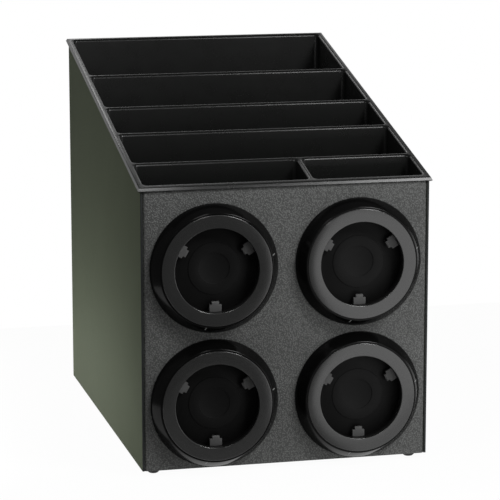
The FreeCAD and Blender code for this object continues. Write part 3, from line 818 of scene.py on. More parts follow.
@dataclass
class Cabinet:
    """Walls and feet of the cabinet.

    Attributes:
        front_edge: Rounding of the front panel's upright edges.
        side_edge: Rounding of the side walls' edges.
        rear_edge: Rounding of the rear wall's edges.
        barrel: Radius of a guide's barrel.
        hole_gap: Width by which a hole in the front panel clears the barrel.
        hole_sides: Flats round each hole.
        foot_sides: Flats round each foot.
        foot_tip: Radius of the flat that a foot stands on.
        foot_skirt: Height of a foot's upright skirt.
        foot_edges: Roundings of a foot's tip, shoulder and top.
    """

    front_edge: Rounding = Rounding(4.0 * MM, 8)
    side_edge: Rounding = Rounding(0.5 * MM, 3)
    rear_edge: Rounding = Rounding(0.5 * MM, 2)
    barrel: float = 69.15 * MM
    hole_gap: float = 0.8 * MM
    hole_sides: int = 144
    foot_sides: int = 72
    foot_tip: float = 5.5 * MM
    foot_skirt: float = 3.0 * MM
    foot_edges: tuple[Rounding, ...] = (Rounding(1.2 * MM, 4), Rounding(2.4 * MM, 6), Rounding(0.3 * MM, 2))

    def build(self) -> None:
        """Build the walls, then the feet."""
        self.front_panel()
        for side in Side:
            wall = self.wall(f"{side.value}_side_wall", f"{side.value}_side_panel", self.side_edge)
            # Faces that look to the front get the darker colour, a painted shade.
            trim_faces(wall, EDGE_PAINTED_SHADE, lambda normal: normal.y < -STEEP)
        self.wall("rear_wall", "rear_panel", self.rear_edge)
        self.feet()

    def front_panel(self) -> None:
        """Plate with two rounded upright edges and four round holes."""
        low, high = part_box("front_panel")
        piece = Piece.block("front_panel_pebbled", low, high)
        piece.round_edges(lambda edge: is_upright(edge) and edge.verts[0].co.y < low.y + NEAR,
                          self.front_edge)
        # Each cutter stands out of both faces.
        length = 4 * (high.y - low.y)
        for name in dispenser_names():
            radius = self.barrel + self.hole_gap
            piece.subtract(Piece.rod("hole", dispenser_centre(name), radius, length, self.hole_sides))
        piece.smooth()
        piece.finish(FRONT_PLASTIC, replaces=["front_panel"])

    def wall(self, name: str, node: str, rounding: Rounding) -> bpy.types.Object:
        """Model a flat wall whose top falls to the front, with soft edges.

        Args:
            name: The piece's name.
            node: The solid that it stands for.
            rounding: Rounding of all its edges.

        Returns:
            The finished wall.
        """
        low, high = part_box(node)
        side_low, side_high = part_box("left_side_panel")
        slope = (side_high.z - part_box("front_panel")[1].z) / (side_high.y - side_low.y)
        piece = Piece.block(name, low, high)
        piece.pick("verts", lambda vert: vert.co.y < high.y - NEAR and vert.co.z > high.z - NEAR)
        piece.move((0, 0, slope * (low.y - high.y)))
        piece.round_edges(lambda edge: True, rounding)
        piece.smooth()
        return piece.finish(SIDE_PLASTIC, replaces=[node])

    def feet(self) -> None:
        """Domed feet, modelled once and copied to the four corners."""
        corners = [f"{row}_{side.value}_foot" for row in ("front", "rear") for side in Side]
        low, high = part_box(corners[0])
        radius, height = (high.x - low.x) / 2, high.z - low.z
        centre = Vector(((low.x + high.x) / 2, (low.y + high.y) / 2, low.z))
        places = ((self.foot_tip, 0), (radius, height - self.foot_skirt), (radius, height))
        profile = [Corner(*place, edge) for place, edge in zip(places, self.foot_edges)]
        model = turned("foot_model", centre, profile, self.foot_sides, Axis.Z, closed=False)
        model.smooth()
        for name in corners:
            model.copy(f"{name}_domed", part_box(name)[0] - low).finish(RUBBER, replaces=[name])
        model.drop()


def is_upright(edge: bmesh.types.BMEdge) -> bool:
    """Tell whether an edge runs straight up."""
    run = edge.verts[1].co - edge.verts[0].co
    return math.hypot(run.x, run.y) < NEAR


def is_in_line(vert: bmesh.types.BMVert) -> bool:
    """Tell whether a point only divides a straight line in two."""
    runs = [edge.other_vert(vert).co - vert.co for edge in vert.link_edges]
    return len(runs) == 2 and runs[0].cross(runs[1]).length < NEAR * NEAR


@dataclass(frozen=True)
class Pocket:
    """One compartment's inner outline, from the cabinet's front and middle.

    Attributes:
        left: Its left side.
        right: Its right side.
        front: Its front side.
        rear: Its rear side.
        floor: Height of its floor in the model.
    """

    left: float
    right: float
    front: float
    rear: float
    floor: float

    def holds(self, face: bmesh.types.BMFace) -> bool:
        """Tell whether a face lies inside the outline, seen from above."""
        return all(self.left - NEAR < vert.co.x < self.right + NEAR
                   and self.front - NEAR < vert.co.y < self.rear + NEAR for vert in face.verts)

    def at_corner(self, point: Vector) -> bool:
        """Tell whether a point lies on a corner of the outline.

        Args:
            point: The point.

        Returns:
            True where it does, seen from above.
        """
        beside = min(abs(point.x - self.left), abs(point.x - self.right))
        ahead = min(abs(point.y - self.front), abs(point.y - self.rear))
        return max(beside, ahead) < NEAR


@dataclass
class OrganizerTray:
    """Thermoformed tray: a sloped flange, six compartments and a flared lip.

    Attributes:
        gauge: Thickness of the sheet.
        lip_gauge: Thickness of the sheet at the lip, where it is stretched.
        wall_gap: Gap between the compartments and the cabinet's walls.
        ridge: Width of a divider's top.
        dividers: Middles of the dividers, from the cabinet's front face.
        split: Middle of the front row's short divider, from the cabinet's middle.
        floor: Height of the front row's floor above the upper dispensers' barrels.
        rises: Heights of the rows' floors above the front row's.
        links: Places of the lines that join the compartments' mouths on the flange.
        corner: Rounding of the compartments' upright corners.
        mouth: Rounding of their rims.
        base: Rounding round their floors.
        edge_growth: Width by which the flange's edge stands out over the walls.
        lip_growth: Width by which the lip's lower edge does.
        lip_drop: Height of the lip.
        edge: Rounding of the flange's outer edge.
        crease: Angle above which the sheet's edges stay sharp, in degrees.
    """

    gauge: float = 2.4 * MM
    lip_gauge: float = 1.8 * MM
    wall_gap: float = 0.6 * MM
    ridge: float = 7.0 * MM
    dividers: tuple[float, ...] = (75.5 * MM, 174.5 * MM, 266 * MM, 385 * MM)
    split: float = 35 * MM
    floor: float = 1.85 * MM
    rises: tuple[float, ...] = (0.0, 8 * MM, 27 * MM, 42 * MM, 52 * MM)
    links: tuple[float, float] = (-76 * MM, 111 * MM)
    corner: Rounding = Rounding(6.0 * MM, 7)
    mouth: Rounding = Rounding(3.2 * MM, 6)
    base: Rounding = Rounding(4.0 * MM, 5)
    edge_growth: float = 1.4 * MM
    lip_growth: float = 3.4 * MM
    lip_drop: float = 3.6 * MM
    edge: Rounding = Rounding(1.0 * MM, 4)
    crease: float = 40

    def __post_init__(self) -> None:
        """Read the cabinet's size from the frame."""
        left_low, left_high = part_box("left_side_panel")
        right_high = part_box("right_side_panel")[1]
        self.front = left_low.y
        self.depth = left_high.y - left_low.y
        self.half = right_high.x
        self.inner = -left_high.x
        self.front_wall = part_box("front_panel")[1].y - self.front
        self.rear_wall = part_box("rear_panel")[1].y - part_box("rear_panel")[0].y
        self.front_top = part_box("front_panel")[1].z + self.gauge
        self.slope = (left_high.z + self.gauge - self.front_top) / self.depth
        self.pockets = self.lay_out()

    def lay_out(self) -> list[Pocket]:
        """Return the six compartments, front row first.

        Returns:
            The compartments' outlines and floors.
        """
        wall = self.wall_gap + self.gauge
        half = self.inner - wall
        side = self.ridge / 2
        fronts = [self.front_wall + wall] + [middle + side for middle in self.dividers]
        rears = [middle - side for middle in self.dividers] + [self.depth - self.rear_wall - wall]
        barrel_top = dispenser_centre(HOME).z + Cabinet.barrel
        floor = barrel_top + self.floor + self.gauge
        made = []
        for row, (front, rear, rise) in enumerate(zip(fronts, rears, self.rises)):
            spans = [(-half, half)] if row else [(-half, self.split - side), (self.split + side, half)]
            made += [Pocket(left, right, self.front + front, self.front + rear, floor + rise)
                     for left, right in spans]
        return made

    def build(self) -> None:
        """Build the tray from one sheet."""
        piece = self.cut_sheet()
        self.sink(piece)
        self.round_pockets(piece)
        self.flare_lip(piece)
        self.thicken(piece)
        piece.smooth(self.crease)
        piece.finish(TRAY_PLASTIC, replaces=["organizer_tray"])

    def cut_sheet(self) -> Piece:
        """Return a sheet on the slope with the compartments' outlines cut into it.

        Returns:
            The sheet.
        """
        grown = self.edge_growth
        low = Vector((-self.half - grown, self.front - grown, 0))
        high = Vector((self.half + grown, self.front + self.depth + grown, 0))
        piece = Piece.sheet("organizer_tray_formed", low, high)
        pockets = self.pockets
        row = pockets[0]
        for place in sorted({line for pocket in pockets for line in (pocket.front, pocket.rear)}):
            piece.all()
            piece.cut((0, place, 0), (0, 1, 0))
        for place in (row.left, *self.links, pockets[1].right):
            piece.all()
            piece.cut((place, 0, 0), (1, 0, 0))
        for place in (row.right, pockets[1].left):
            piece.pick("faces", lambda face: row.front < face.calc_center_median().y < row.rear)
            piece.cut((place, 0, 0), (1, 0, 0))
        piece.pick("edges", self.is_spare_line)
        bpy.ops.mesh.dissolve_edges(use_verts=False)
        piece.pick("verts", is_in_line)
        bpy.ops.mesh.dissolve_verts()
        piece.done()
        tilt = math.atan(self.slope)
        turn = Matrix.Rotation(tilt, 4, "X") @ Matrix.Scale(1 / math.cos(tilt), 4, (0, 1, 0))
        front_line = Vector((0, self.front, 0))
        lift = Matrix.Translation(front_line + Vector((0, 0, self.front_top)))
        piece.obj.matrix_world = lift @ turn @ Matrix.Translation(-front_line)
        piece.apply_place()
        return piece

    def is_spare_line(self, edge: bmesh.types.BMEdge) -> bool:
        """Tell whether a cut line is neither a compartment's outline, a link nor the sheet's edge.

        Args:
            edge: An edge on the cut line.

        Returns:
            True where the edge can go.
        """
        if edge.is_boundary:
            return False
        inside = [any(pocket.holds(face) for pocket in self.pockets) for face in edge.link_faces]
        if all(inside):
            return True
        if any(inside):
            return False
        ends = {round(vert.co.x, 6) for vert in edge.verts}
        return not (len(ends) == 1 and ends <= {round(link, 6) for link in self.links})

    def sink(self, piece: Piece) -> None:
        """Push each compartment down to its floor.

        Args:
            piece: The tray's sheet.
        """
        for pocket in self.pockets:
            piece.pick("faces", lambda face: pocket.holds(face))
            piece.extrude()
            piece.grow((1, 1, 0), (0, 0, pocket.floor))

    def on_slope(self, vert: bmesh.types.BMVert) -> bool:
        """Tell whether a point lies on the sloped flange."""
        return abs(vert.co.z - self.front_top - self.slope * (vert.co.y - self.front)) < 2 * NEAR

    def round_pockets(self, piece: Piece) -> None:
        """Round the compartments' corners, rims and floors.

        Args:
            piece: The tray's sheet.
        """
        pockets = self.pockets

        def corner(edge: bmesh.types.BMEdge) -> bool:
            """Tell whether an edge is a compartment's upright corner."""
            return is_upright(edge) and any(pocket.at_corner(edge.verts[0].co) for pocket in pockets)

        def rim(edge: bmesh.types.BMEdge) -> bool:
            """Tell whether an edge lies between the flange and a compartment's wall.

            Args:
                edge: The edge.

            Returns:
                True where it does.
            """
            if not all(self.on_slope(vert) for vert in edge.verts):
                return False
            return any(abs(face.normal.z) < STEEP for face in edge.link_faces)

        def base(edge: bmesh.types.BMEdge) -> bool:
            """Tell whether an edge lies between a compartment's wall and its floor."""
            heights = [face.normal.z for face in edge.link_faces]
            return max(heights) > 1 - NEAR and min(heights) < STEEP

        for test, rounding in ((corner, self.corner), (base, self.base), (rim, self.mouth)):
            piece.round_edges(test, rounding, clamp=False)

    def flare_lip(self, piece: Piece) -> None:
        """Draw the flange's edge out and down over the walls.

        Args:
            piece: The tray's sheet.
        """
        middle = Vector((0, self.front + self.depth / 2, self.front_top + self.slope * self.depth / 2))
        piece.pick("edges", lambda edge: edge.is_boundary)
        across = (self.half + self.lip_growth) / (self.half + self.edge_growth)
        along = (self.depth / 2 + self.lip_growth) / (self.depth / 2 + self.edge_growth)
        piece.extrude()
        piece.grow((across, along, along), middle)
        piece.move((0, 0, -self.lip_drop))
        inside = self.half + self.edge_growth + NEAR

        def outer_edge(edge: bmesh.types.BMEdge) -> bool:
            """Tell whether an edge lies between the flange and the lip.

            Args:
                edge: The edge.

            Returns:
                True where it does.
            """
            on_flange = all(self.on_slope(vert) for vert in edge.verts)
            beside = any(abs(face.calc_center_median().x) > inside or face.normal.z < LIP_STEEP
                         for face in edge.link_faces)
            return on_flange and beside and all(self.outside_walls(vert.co) for vert in edge.verts)

        piece.round_edges(outer_edge, self.edge, clamp=False)

    def outside_walls(self, point: Vector) -> bool:
        """Tell whether a point lies outside the cabinet's walls, seen from above."""
        ahead = abs(point.y - self.front - self.depth / 2) - self.depth / 2
        return max(abs(point.x) - self.half, ahead) > NEAR

    def thicken(self, piece: Piece) -> None:
        """Give the sheet its thickness, less at the lip.

        Args:
            piece: The tray's sheet.
        """
        group = piece.obj.vertex_groups.new(name="gauge")
        piece.done()
        lip, sheet = [], []
        for vert in piece.obj.data.vertices:
            (lip if self.outside_walls(vert.co) else sheet).append(vert.index)
        group.add(sheet, 1.0, "REPLACE")
        group.add(lip, 0.0, "REPLACE")
        piece.modify("SOLIDIFY", thickness=self.gauge, offset=-1.0, use_even_offset=True,
                     use_quality_normals=True, vertex_group=group.name,
                     thickness_vertex_group=self.lip_gauge / self.gauge)
        piece.obj.vertex_groups.clear()


def dispenser_names() -> Iterator[str]:
    """Yield the name of each dispenser."""
    for level in Level:
        for side in Side:
            yield f"{level.value}_{side.value}"


@cache
def dispenser_centre(name: str) -> Vector:
    """Return the point of a dispenser's axis in the plane of the front panel's face."""
    low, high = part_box(f"{name}_bezel_ring")
    return Vector(((low.x + high.x) / 2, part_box("front_panel")[0].y, (low.z + high.z) / 2)).freeze()


class DispenserPart:
    """A part of a dispenser, modelled at one and copied to all four.

    Attributes:
        part: Its name in each dispenser.
        finish: Its finish.
        body: The body that it rides on in each dispenser, or nothing for the cabinet.
        stands_for: Whether it stands for a solid of its name.
        sides: Flats round a turned part.
        crease: Angle above which its edges stay sharp, in degrees.
    """

    part: str = ""
    finish: Finish = INNER_PLASTIC
    body: str = ""
    stands_for: bool = True
    sides: int = 176
    crease: float = 25

    @property
    def home(self) -> Vector:
        """Return the centre of the dispenser at which the part is modelled."""
        return dispenser_centre(HOME)

    def reach(self) -> float:
        """Return the outer radius of the part's solid."""
        low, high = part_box(f"{HOME}_{self.part}")
        return (high.x - low.x) / 2

    def depths(self) -> tuple[float, float]:
        """Return the front and rear places of the part's solid along the axis."""
        low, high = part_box(f"{HOME}_{self.part}")
        return low.y - self.home.y, high.y - self.home.y

    def model(self) -> Piece:
        """Return the part at its first dispenser."""
        raise NotImplementedError

    def spots(self) -> Iterator[tuple[str, str, Vector, float]]:
        """Yield the name, body, shift and turn of each copy."""
        for name in dispenser_names():
            body = f"{name}_{self.body}" if self.body else "root"
            yield f"{name}_{self.part}", body, dispenser_centre(name) - self.home, 0.0

    def place(self) -> list[bpy.types.Object]:
        """Copy the part to its places in the four dispensers.

        Returns:
            The copies.
        """
        model = self.model()
        model.smooth(self.crease)
        made = []
        for name, body, shift, turn in self.spots():
            copy = model.copy(f"{name}_piece", shift, turn, self.home)
            made.append(copy.finish(self.finish, body, [name] if self.stands_for else []))
        model.drop()
        return made


@dataclass
class Bezel(DispenserPart):
    """Gloss ring with a sloped flank, a rounded rim and a seat for the guide.

    Attributes:
        running_gap: Gap between the satin face and the bore.
        front_wall: Width of the front rim.
        base: Height of the upright base.
        seat: Radius of the seat for the guide.
        seat_depth: Place of the seat's bottom.
        cavity: Radius of the space for the cam.
        shoulder_depth: Place of the cavity's front end.
        bore_edge: Rounding of the bore's front edge.
        rim_edge: Rounding between the front rim and the flank.
        base_edge: Rounding between the flank and the base.
    """

    part = "bezel_ring"
    finish = GLOSS_PLASTIC

    running_gap: float = 0.4 * MM
    front_wall: float = 1.8 * MM
    base: float = 3.0 * MM
    seat: float = 77.7 * MM
    seat_depth: float = -8.0 * MM
    cavity: float = 75.4 * MM
    shoulder_depth: float = -12.3 * MM
    bore_edge: Rounding = Rounding(0.4 * MM, 3)
    rim_edge: Rounding = Rounding(0.9 * MM, 6)
    base_edge: Rounding = Rounding(2.4 * MM, 8)

    @property
    def bore(self) -> float:
        """Return the bore's radius."""
        return AdjusterFace().reach() + self.running_gap

    def flank(self) -> tuple[Corner, Corner]:
        """Return the corners at the front and rear of the flank."""
        rim = Corner(self.bore + self.front_wall, self.depths()[0], self.rim_edge)
        return rim, Corner(self.reach(), -self.base, self.base_edge)

    def model(self) -> Piece:
        """Return the ring.

        Returns:
            The ring at its first dispenser.
        """
        rim, base = self.flank()
        return turned("bezel_model", self.home, [
            Corner(self.bore, rim.depth, self.bore_edge), rim, base, Corner(base.radius, 0),
            Corner(self.seat, 0), Corner(self.seat, self.seat_depth),
            Corner(self.cavity, self.seat_depth), Corner(self.cavity, self.shoulder_depth),
            Corner(self.bore, self.shoulder_depth)], self.sides)


@dataclass
class AdjusterFace(DispenserPart):
    """Satin ring round the opening, of channel section.

    Attributes:
        width: Width of the ring.
        plate: Thickness of its face.
        outer_wall: Thickness of the channel's outer wall.
        inner_wall: Thickness of its inner wall.
        front_edge: Rounding of the two front edges.
        back_edge: Rounding of the opening's rear edge.
    """

    part = "adjuster_face"
    finish = SATIN_PLASTIC
    body = "adjuster"

    width: float = 17.0 * MM
    plate: float = 3.0 * MM
    outer_wall: float = 2.5 * MM
    inner_wall: float = 2.0 * MM
    front_edge: Rounding = Rounding(0.9 * MM, 5)
    back_edge: Rounding = Rounding(0.3 * MM, 2)

    def model(self) -> Piece:
        """Return the ring.

        Returns:
            The ring at its first dispenser.
        """
        outer, (front, rear) = self.reach(), self.depths()
        opening = outer - self.width
        plate = front + self.plate
        return turned("face_model", self.home, [
            Corner(opening, front, self.front_edge), Corner(outer, front, self.front_edge),
            Corner(outer, rear), Corner(outer - self.outer_wall, rear),
            Corner(outer - self.outer_wall, plate), Corner(opening + self.inner_wall, plate),
            Corner(opening + self.inner_wall, rear), Corner(opening, rear, self.back_edge)], self.sides)


@dataclass
class Pusher(DispenserPart):
    """Follower: a plate with a raised ring, a long skirt and the spring's boss.

    Attributes:
        hub: Radius of the flat that closes the plate's middle.
        setback: Distance of the plate's front from the front panel's face.
        plate: Thickness of the plate.
        ring: Inner and outer radius of the raised ring.
        ring_height: Its height.
        skirt_wall: Thickness of the skirt.
        boss: Inner and outer radius of the boss.
        boss_height: Its height.
        ring_foot: Rounding at the foot of the raised ring.
        ring_crest: Rounding of its crest.
        plate_edge: Rounding between the plate and the skirt.
        skirt_root: Rounding between them on the inside.
        wall_edge: Rounding of the skirt's and the boss's ends.
    """

    part = "pusher"
    body = "pusher"
    sides = 128

    hub: float = 0.4 * MM
    setback: float = 0.3 * MM
    plate: float = 2.5 * MM
    ring: Span = (20.0 * MM, 34.0 * MM)
    ring_height: float = 0.8 * MM
    skirt_wall: float = 2.0 * MM
    boss: Span = (43.5 * MM, 45.5 * MM)
    boss_height: float = 10.0 * MM
    ring_foot: Rounding = Rounding(0.3 * MM, 2)
    ring_crest: Rounding = Rounding(0.35 * MM, 3)
    plate_edge: Rounding = Rounding(1.6 * MM, 5)
    skirt_root: Rounding = Rounding(1.0 * MM, 3)
    wall_edge: Rounding = Rounding(0.4 * MM, 2)

    def model(self) -> Piece:
        """Return the pusher.

        Returns:
            The pusher at its first dispenser.
        """
        radius, (_, rear) = self.reach(), self.depths()
        skirt = radius - self.skirt_wall
        ring_inner, ring_outer = self.ring
        boss_inner, boss_outer = self.boss
        front, back = self.setback, self.setback + self.plate
        crest, boss_end = front - self.ring_height, back + self.boss_height
        return turned("pusher_model", self.home, [
            Corner(self.hub, front), Corner(ring_inner, front, self.ring_foot),
            Corner(ring_inner, crest, self.ring_crest), Corner(ring_outer, crest, self.ring_crest),
            Corner(ring_outer, front, self.ring_foot), Corner(radius, front, self.plate_edge),
            Corner(radius, rear, self.wall_edge), Corner(skirt, rear, self.wall_edge),
            Corner(skirt, back, self.skirt_root), Corner(boss_outer, back),
            Corner(boss_outer, boss_end, self.wall_edge), Corner(boss_inner, boss_end, self.wall_edge),
            Corner(boss_inner, back), Corner(self.hub, back)], self.sides, closed=False)


@dataclass
class IndexTicks(DispenserPart):
    """Index ticks: painted ribs that lie on the bezel's flank.

    Attributes:
        angles: Their clock positions, from the right and anticlockwise, in degrees.
        length: Length of a tick.
        width: Its width.
        thickness: Its thickness.
        start: Its distance from the bezel's rim, down the flank.
        edge: Rounding of its edges.
    """

    part = "index_ticks"
    finish = TICK_PAINT
    stands_for = False
    crease = 30

    angles: tuple[float, float] = (13.0, 259.0)
    length: float = 7.0 * MM
    width: float = 1.2 * MM
    thickness: float = 0.5 * MM
    start: float = 0.8 * MM
    edge: Rounding = Rounding(0.12 * MM, 2)

    def model(self) -> Piece:
        """Return the two ticks.

        Returns:
            Both ticks as one piece.
        """
        rim, base = Bezel().flank()
        run = Vector((base.radius - rim.radius, base.depth - rim.depth, 0))
        half = Vector((self.length, self.thickness, self.width)) / 2
        model = Piece.block("tick_model", -half, half)
        model.round_edges(lambda edge: edge.calc_length() > self.thickness + NEAR, self.edge)
        middle = Vector((rim.radius, rim.depth, 0)) + run.normalized() * (self.start + self.length / 2)
        turn = Matrix.Rotation(math.atan2(run.y, run.x), 4, "Z")
        model.activate()
        model.obj.matrix_world = Matrix.Translation(self.home + middle) @ turn
        model.apply_place()
        first, second = (model.copy(f"tick_{angle:g}", Vector(), angle, self.home) for angle in self.angles)
        model.drop()
        first.join(second)
        return first


@dataclass
class Spring(DispenserPart):
    """Compression spring: one wire with closed ends, from the pusher to the end cap.

    Attributes:
        turns: Number of turns.
        radius: Mean radius.
        wire: Radius of the wire.
        closed: Pitch of the end turns.
        steps: Straight runs in each turn.
        section: Blender's resolution for the wire's round section.
    """

    part = "spring"
    finish = STEEL
    crease = 60

    turns: int = 14
    radius: float = 48.0 * MM
    wire: float = 1.1 * MM
    closed: float = 3.0 * MM
    steps: int = 24
    section: int = 2

    def model(self) -> Piece:
        """Return the spring.

        Returns:
            The spring at its first dispenser.
        """
        front, rear = self.depths()
        start, end = front + self.wire, rear - self.wire
        data = bpy.data.curves.new("spring_wire", "CURVE")
        data.dimensions = "3D"
        line = data.splines.new("POLY")
        line.points.add(self.turns * self.steps)
        for index, point in enumerate(line.points):
            turn = index / self.steps
            angle = 2 * math.pi * turn
            depth = start + self.rise(turn, end - start)
            offset = Vector((self.radius * math.cos(angle), depth, self.radius * math.sin(angle)))
            point.co = (*(self.home + offset), 1)
        data.bevel_depth = self.wire
        data.bevel_resolution = self.section
        data.use_fill_caps = True
        wire = bpy.data.objects.new("spring_model", data)
        bpy.context.scene.collection.objects.link(wire)
        Piece.clear()
        bpy.context.view_layer.objects.active = wire
        wire.select_set(True)
        bpy.ops.object.convert(target="MESH")
        return Piece("spring_model")

    def rise(self, turn: float, length: float) -> float:
        """Return the wire's place along the axis.

        Args:
            turn: Turns from the front end.
            length: The spring's length between the middles of its end wires.

        Returns:
            The distance from the front end.
        """
        if turn > self.turns / 2:
            return length - self.rise(self.turns - turn, length)
        # Each end has one closed turn and one that widens. The four rise like three closed and one open.
        closed_turns = 3
        pitch = (length - closed_turns * self.closed) / (self.turns - closed_turns)
        easing = min(max(turn - 1, 0), 1)
        return (self.closed * min(turn, 1) + self.closed * easing + (pitch - self.closed) * easing ** 2 / 2
                + pitch * max(turn - 2, 0))

    def place(self) -> list[bpy.types.Object]:
        """Copy the spring and give each copy a mesh of its own.

        Returns:
            The four springs.
        """
        springs = super().place()
        travels = {joint["name"]: joint["range_m"][1] for joint in frame["record"]["behaviour"]["joints"]
                   if joint["type"] == "slide"}
        for name, spring in zip(dispenser_names(), springs):
            low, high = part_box(f"{name}_spring")
            keep = (high.y - low.y - travels[f"{name}_pusher_slide"]) / (high.y - low.y)
            centre = dispenser_centre(name)
            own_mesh(spring)
        return springs


@dataclass
class Lug(DispenserPart):
    """Retaining lug: a bar with a narrow nose and a pin for the cam.

    Attributes:
        places: The lugs' names and clock positions, from the right and anticlockwise, in degrees.
        nose_length: Length of the nose.
        nose_width: Its width.
        bar: Thickness of the bar.
        pin: Radius of the pin.
        pin_inset: Distance of its middle from the lug's outer end.
        pin_sides: Flats round it.
        nose_edge: Rounding of the nose's front edge.
        edge: Rounding of the other edges.
        square: Angle above which an edge is rounded, in degrees.
    """

    part = "lower_lug"
    finish = LUG_PLASTIC
    crease = 30

    places: tuple[tuple[str, float], ...] = (("left_lug", 150), ("right_lug", 30), ("lower_lug", 270))
    nose_length: float = 4.0 * MM
    nose_width: float = 9.6 * MM
    bar: float = 4.4 * MM
    pin: float = 2.0 * MM
    pin_inset: float = 3.5 * MM
    pin_sides: int = 32
    nose_edge: Rounding = Rounding(1.6 * MM, 5)
    edge: Rounding = Rounding(0.45 * MM, 3)
    square: float = 60

    def model(self) -> Piece:
        """Return one lug that points to the right of its dispenser's axis.

        Returns:
            The lug.
        """
        home = self.home
        low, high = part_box(f"{HOME}_{self.part}")
        width = high.x - low.x
        tip, tail = home.z - high.z, home.z - low.z
        front_pin, rear = self.depths()
        front = rear - self.bar
        shoulder = tip + self.nose_length
        piece = Piece.block("lug_model", home + Vector((shoulder, front, -width / 2)),
                            home + Vector((tail, rear, width / 2)))
        for side in (-1, 1):
            piece.all()
            piece.cut(home + Vector((0, 0, side * self.nose_width / 2)), (0, 0, 1))
        piece.pick("faces", lambda face: face.normal.x < -STEEP
                   and abs(face.calc_center_median().z - home.z) < self.nose_width / 2)
        piece.extrude((-self.nose_length, 0, 0))
        piece.round_edges(lambda edge: all(abs(vert.co.x - home.x - tip) < NEAR
                                           and vert.co.y < home.y + front + NEAR
                                           for vert in edge.verts), self.nose_edge)
        square = math.radians(self.square)
        piece.round_edges(lambda edge: edge.is_manifold and edge.calc_face_angle() > square, self.edge)
        pin = Piece.rod("pin", home + Vector((tail - self.pin_inset, (front_pin + front) / 2, 0)),
                        self.pin, front - front_pin, self.pin_sides)
        piece.join(pin)
        return piece

    def spots(self) -> Iterator[tuple[str, str, Vector, float]]:
        """Yield the name, body, shift and turn of each dispenser's three lugs."""
        for name in dispenser_names():
            for lug, angle in self.places:
                yield f"{name}_{lug}", f"{name}_{lug}", dispenser_centre(name) - self.home, angle


@dataclass(frozen=True)
class Dispensers:
    """The four dispensers.

    Attributes:
        parts: Their parts, in the order of building.
    """

    parts: tuple[type[DispenserPart], ...] = (Bezel, AdjusterFace, Pusher, IndexTicks, Spring, Lug)

    def build(self) -> None:
        """Model each part once and copy it to its places."""
        for part in self.parts:
            part().place()


@dataclass(frozen=True)
class Lamp:
    """One soft rectangular lamp, which the camera doesn't see.

    Attributes:
        name: The lamp's name.
        place: Its middle.
        target: The point that it faces.
        size: Its width and height.
        watts: Its power.
        mirrored: Whether glossy pieces show the lamp.
    """

    name: str
    place: tuple[float, float, float]
    target: tuple[float, float, float]
    size: tuple[float, float]
    watts: float
    mirrored: bool = True

    def hang(self) -> None:
        """Hang the lamp."""
        data = bpy.data.lights.new(self.name, "AREA")
        data.shape = "RECTANGLE"
        data.size, data.size_y = self.size
        data.energy = self.watts
        lamp = bpy.data.objects.new(self.name, data)
        bpy.context.scene.collection.objects.link(lamp)
        lamp.location = self.place
        lamp.rotation_euler = (Vector(self.target) - Vector(self.place)).to_track_quat("-Z", "Y").to_euler()
        lamp.visible_camera = False
        lamp.visible_glossy = self.mirrored


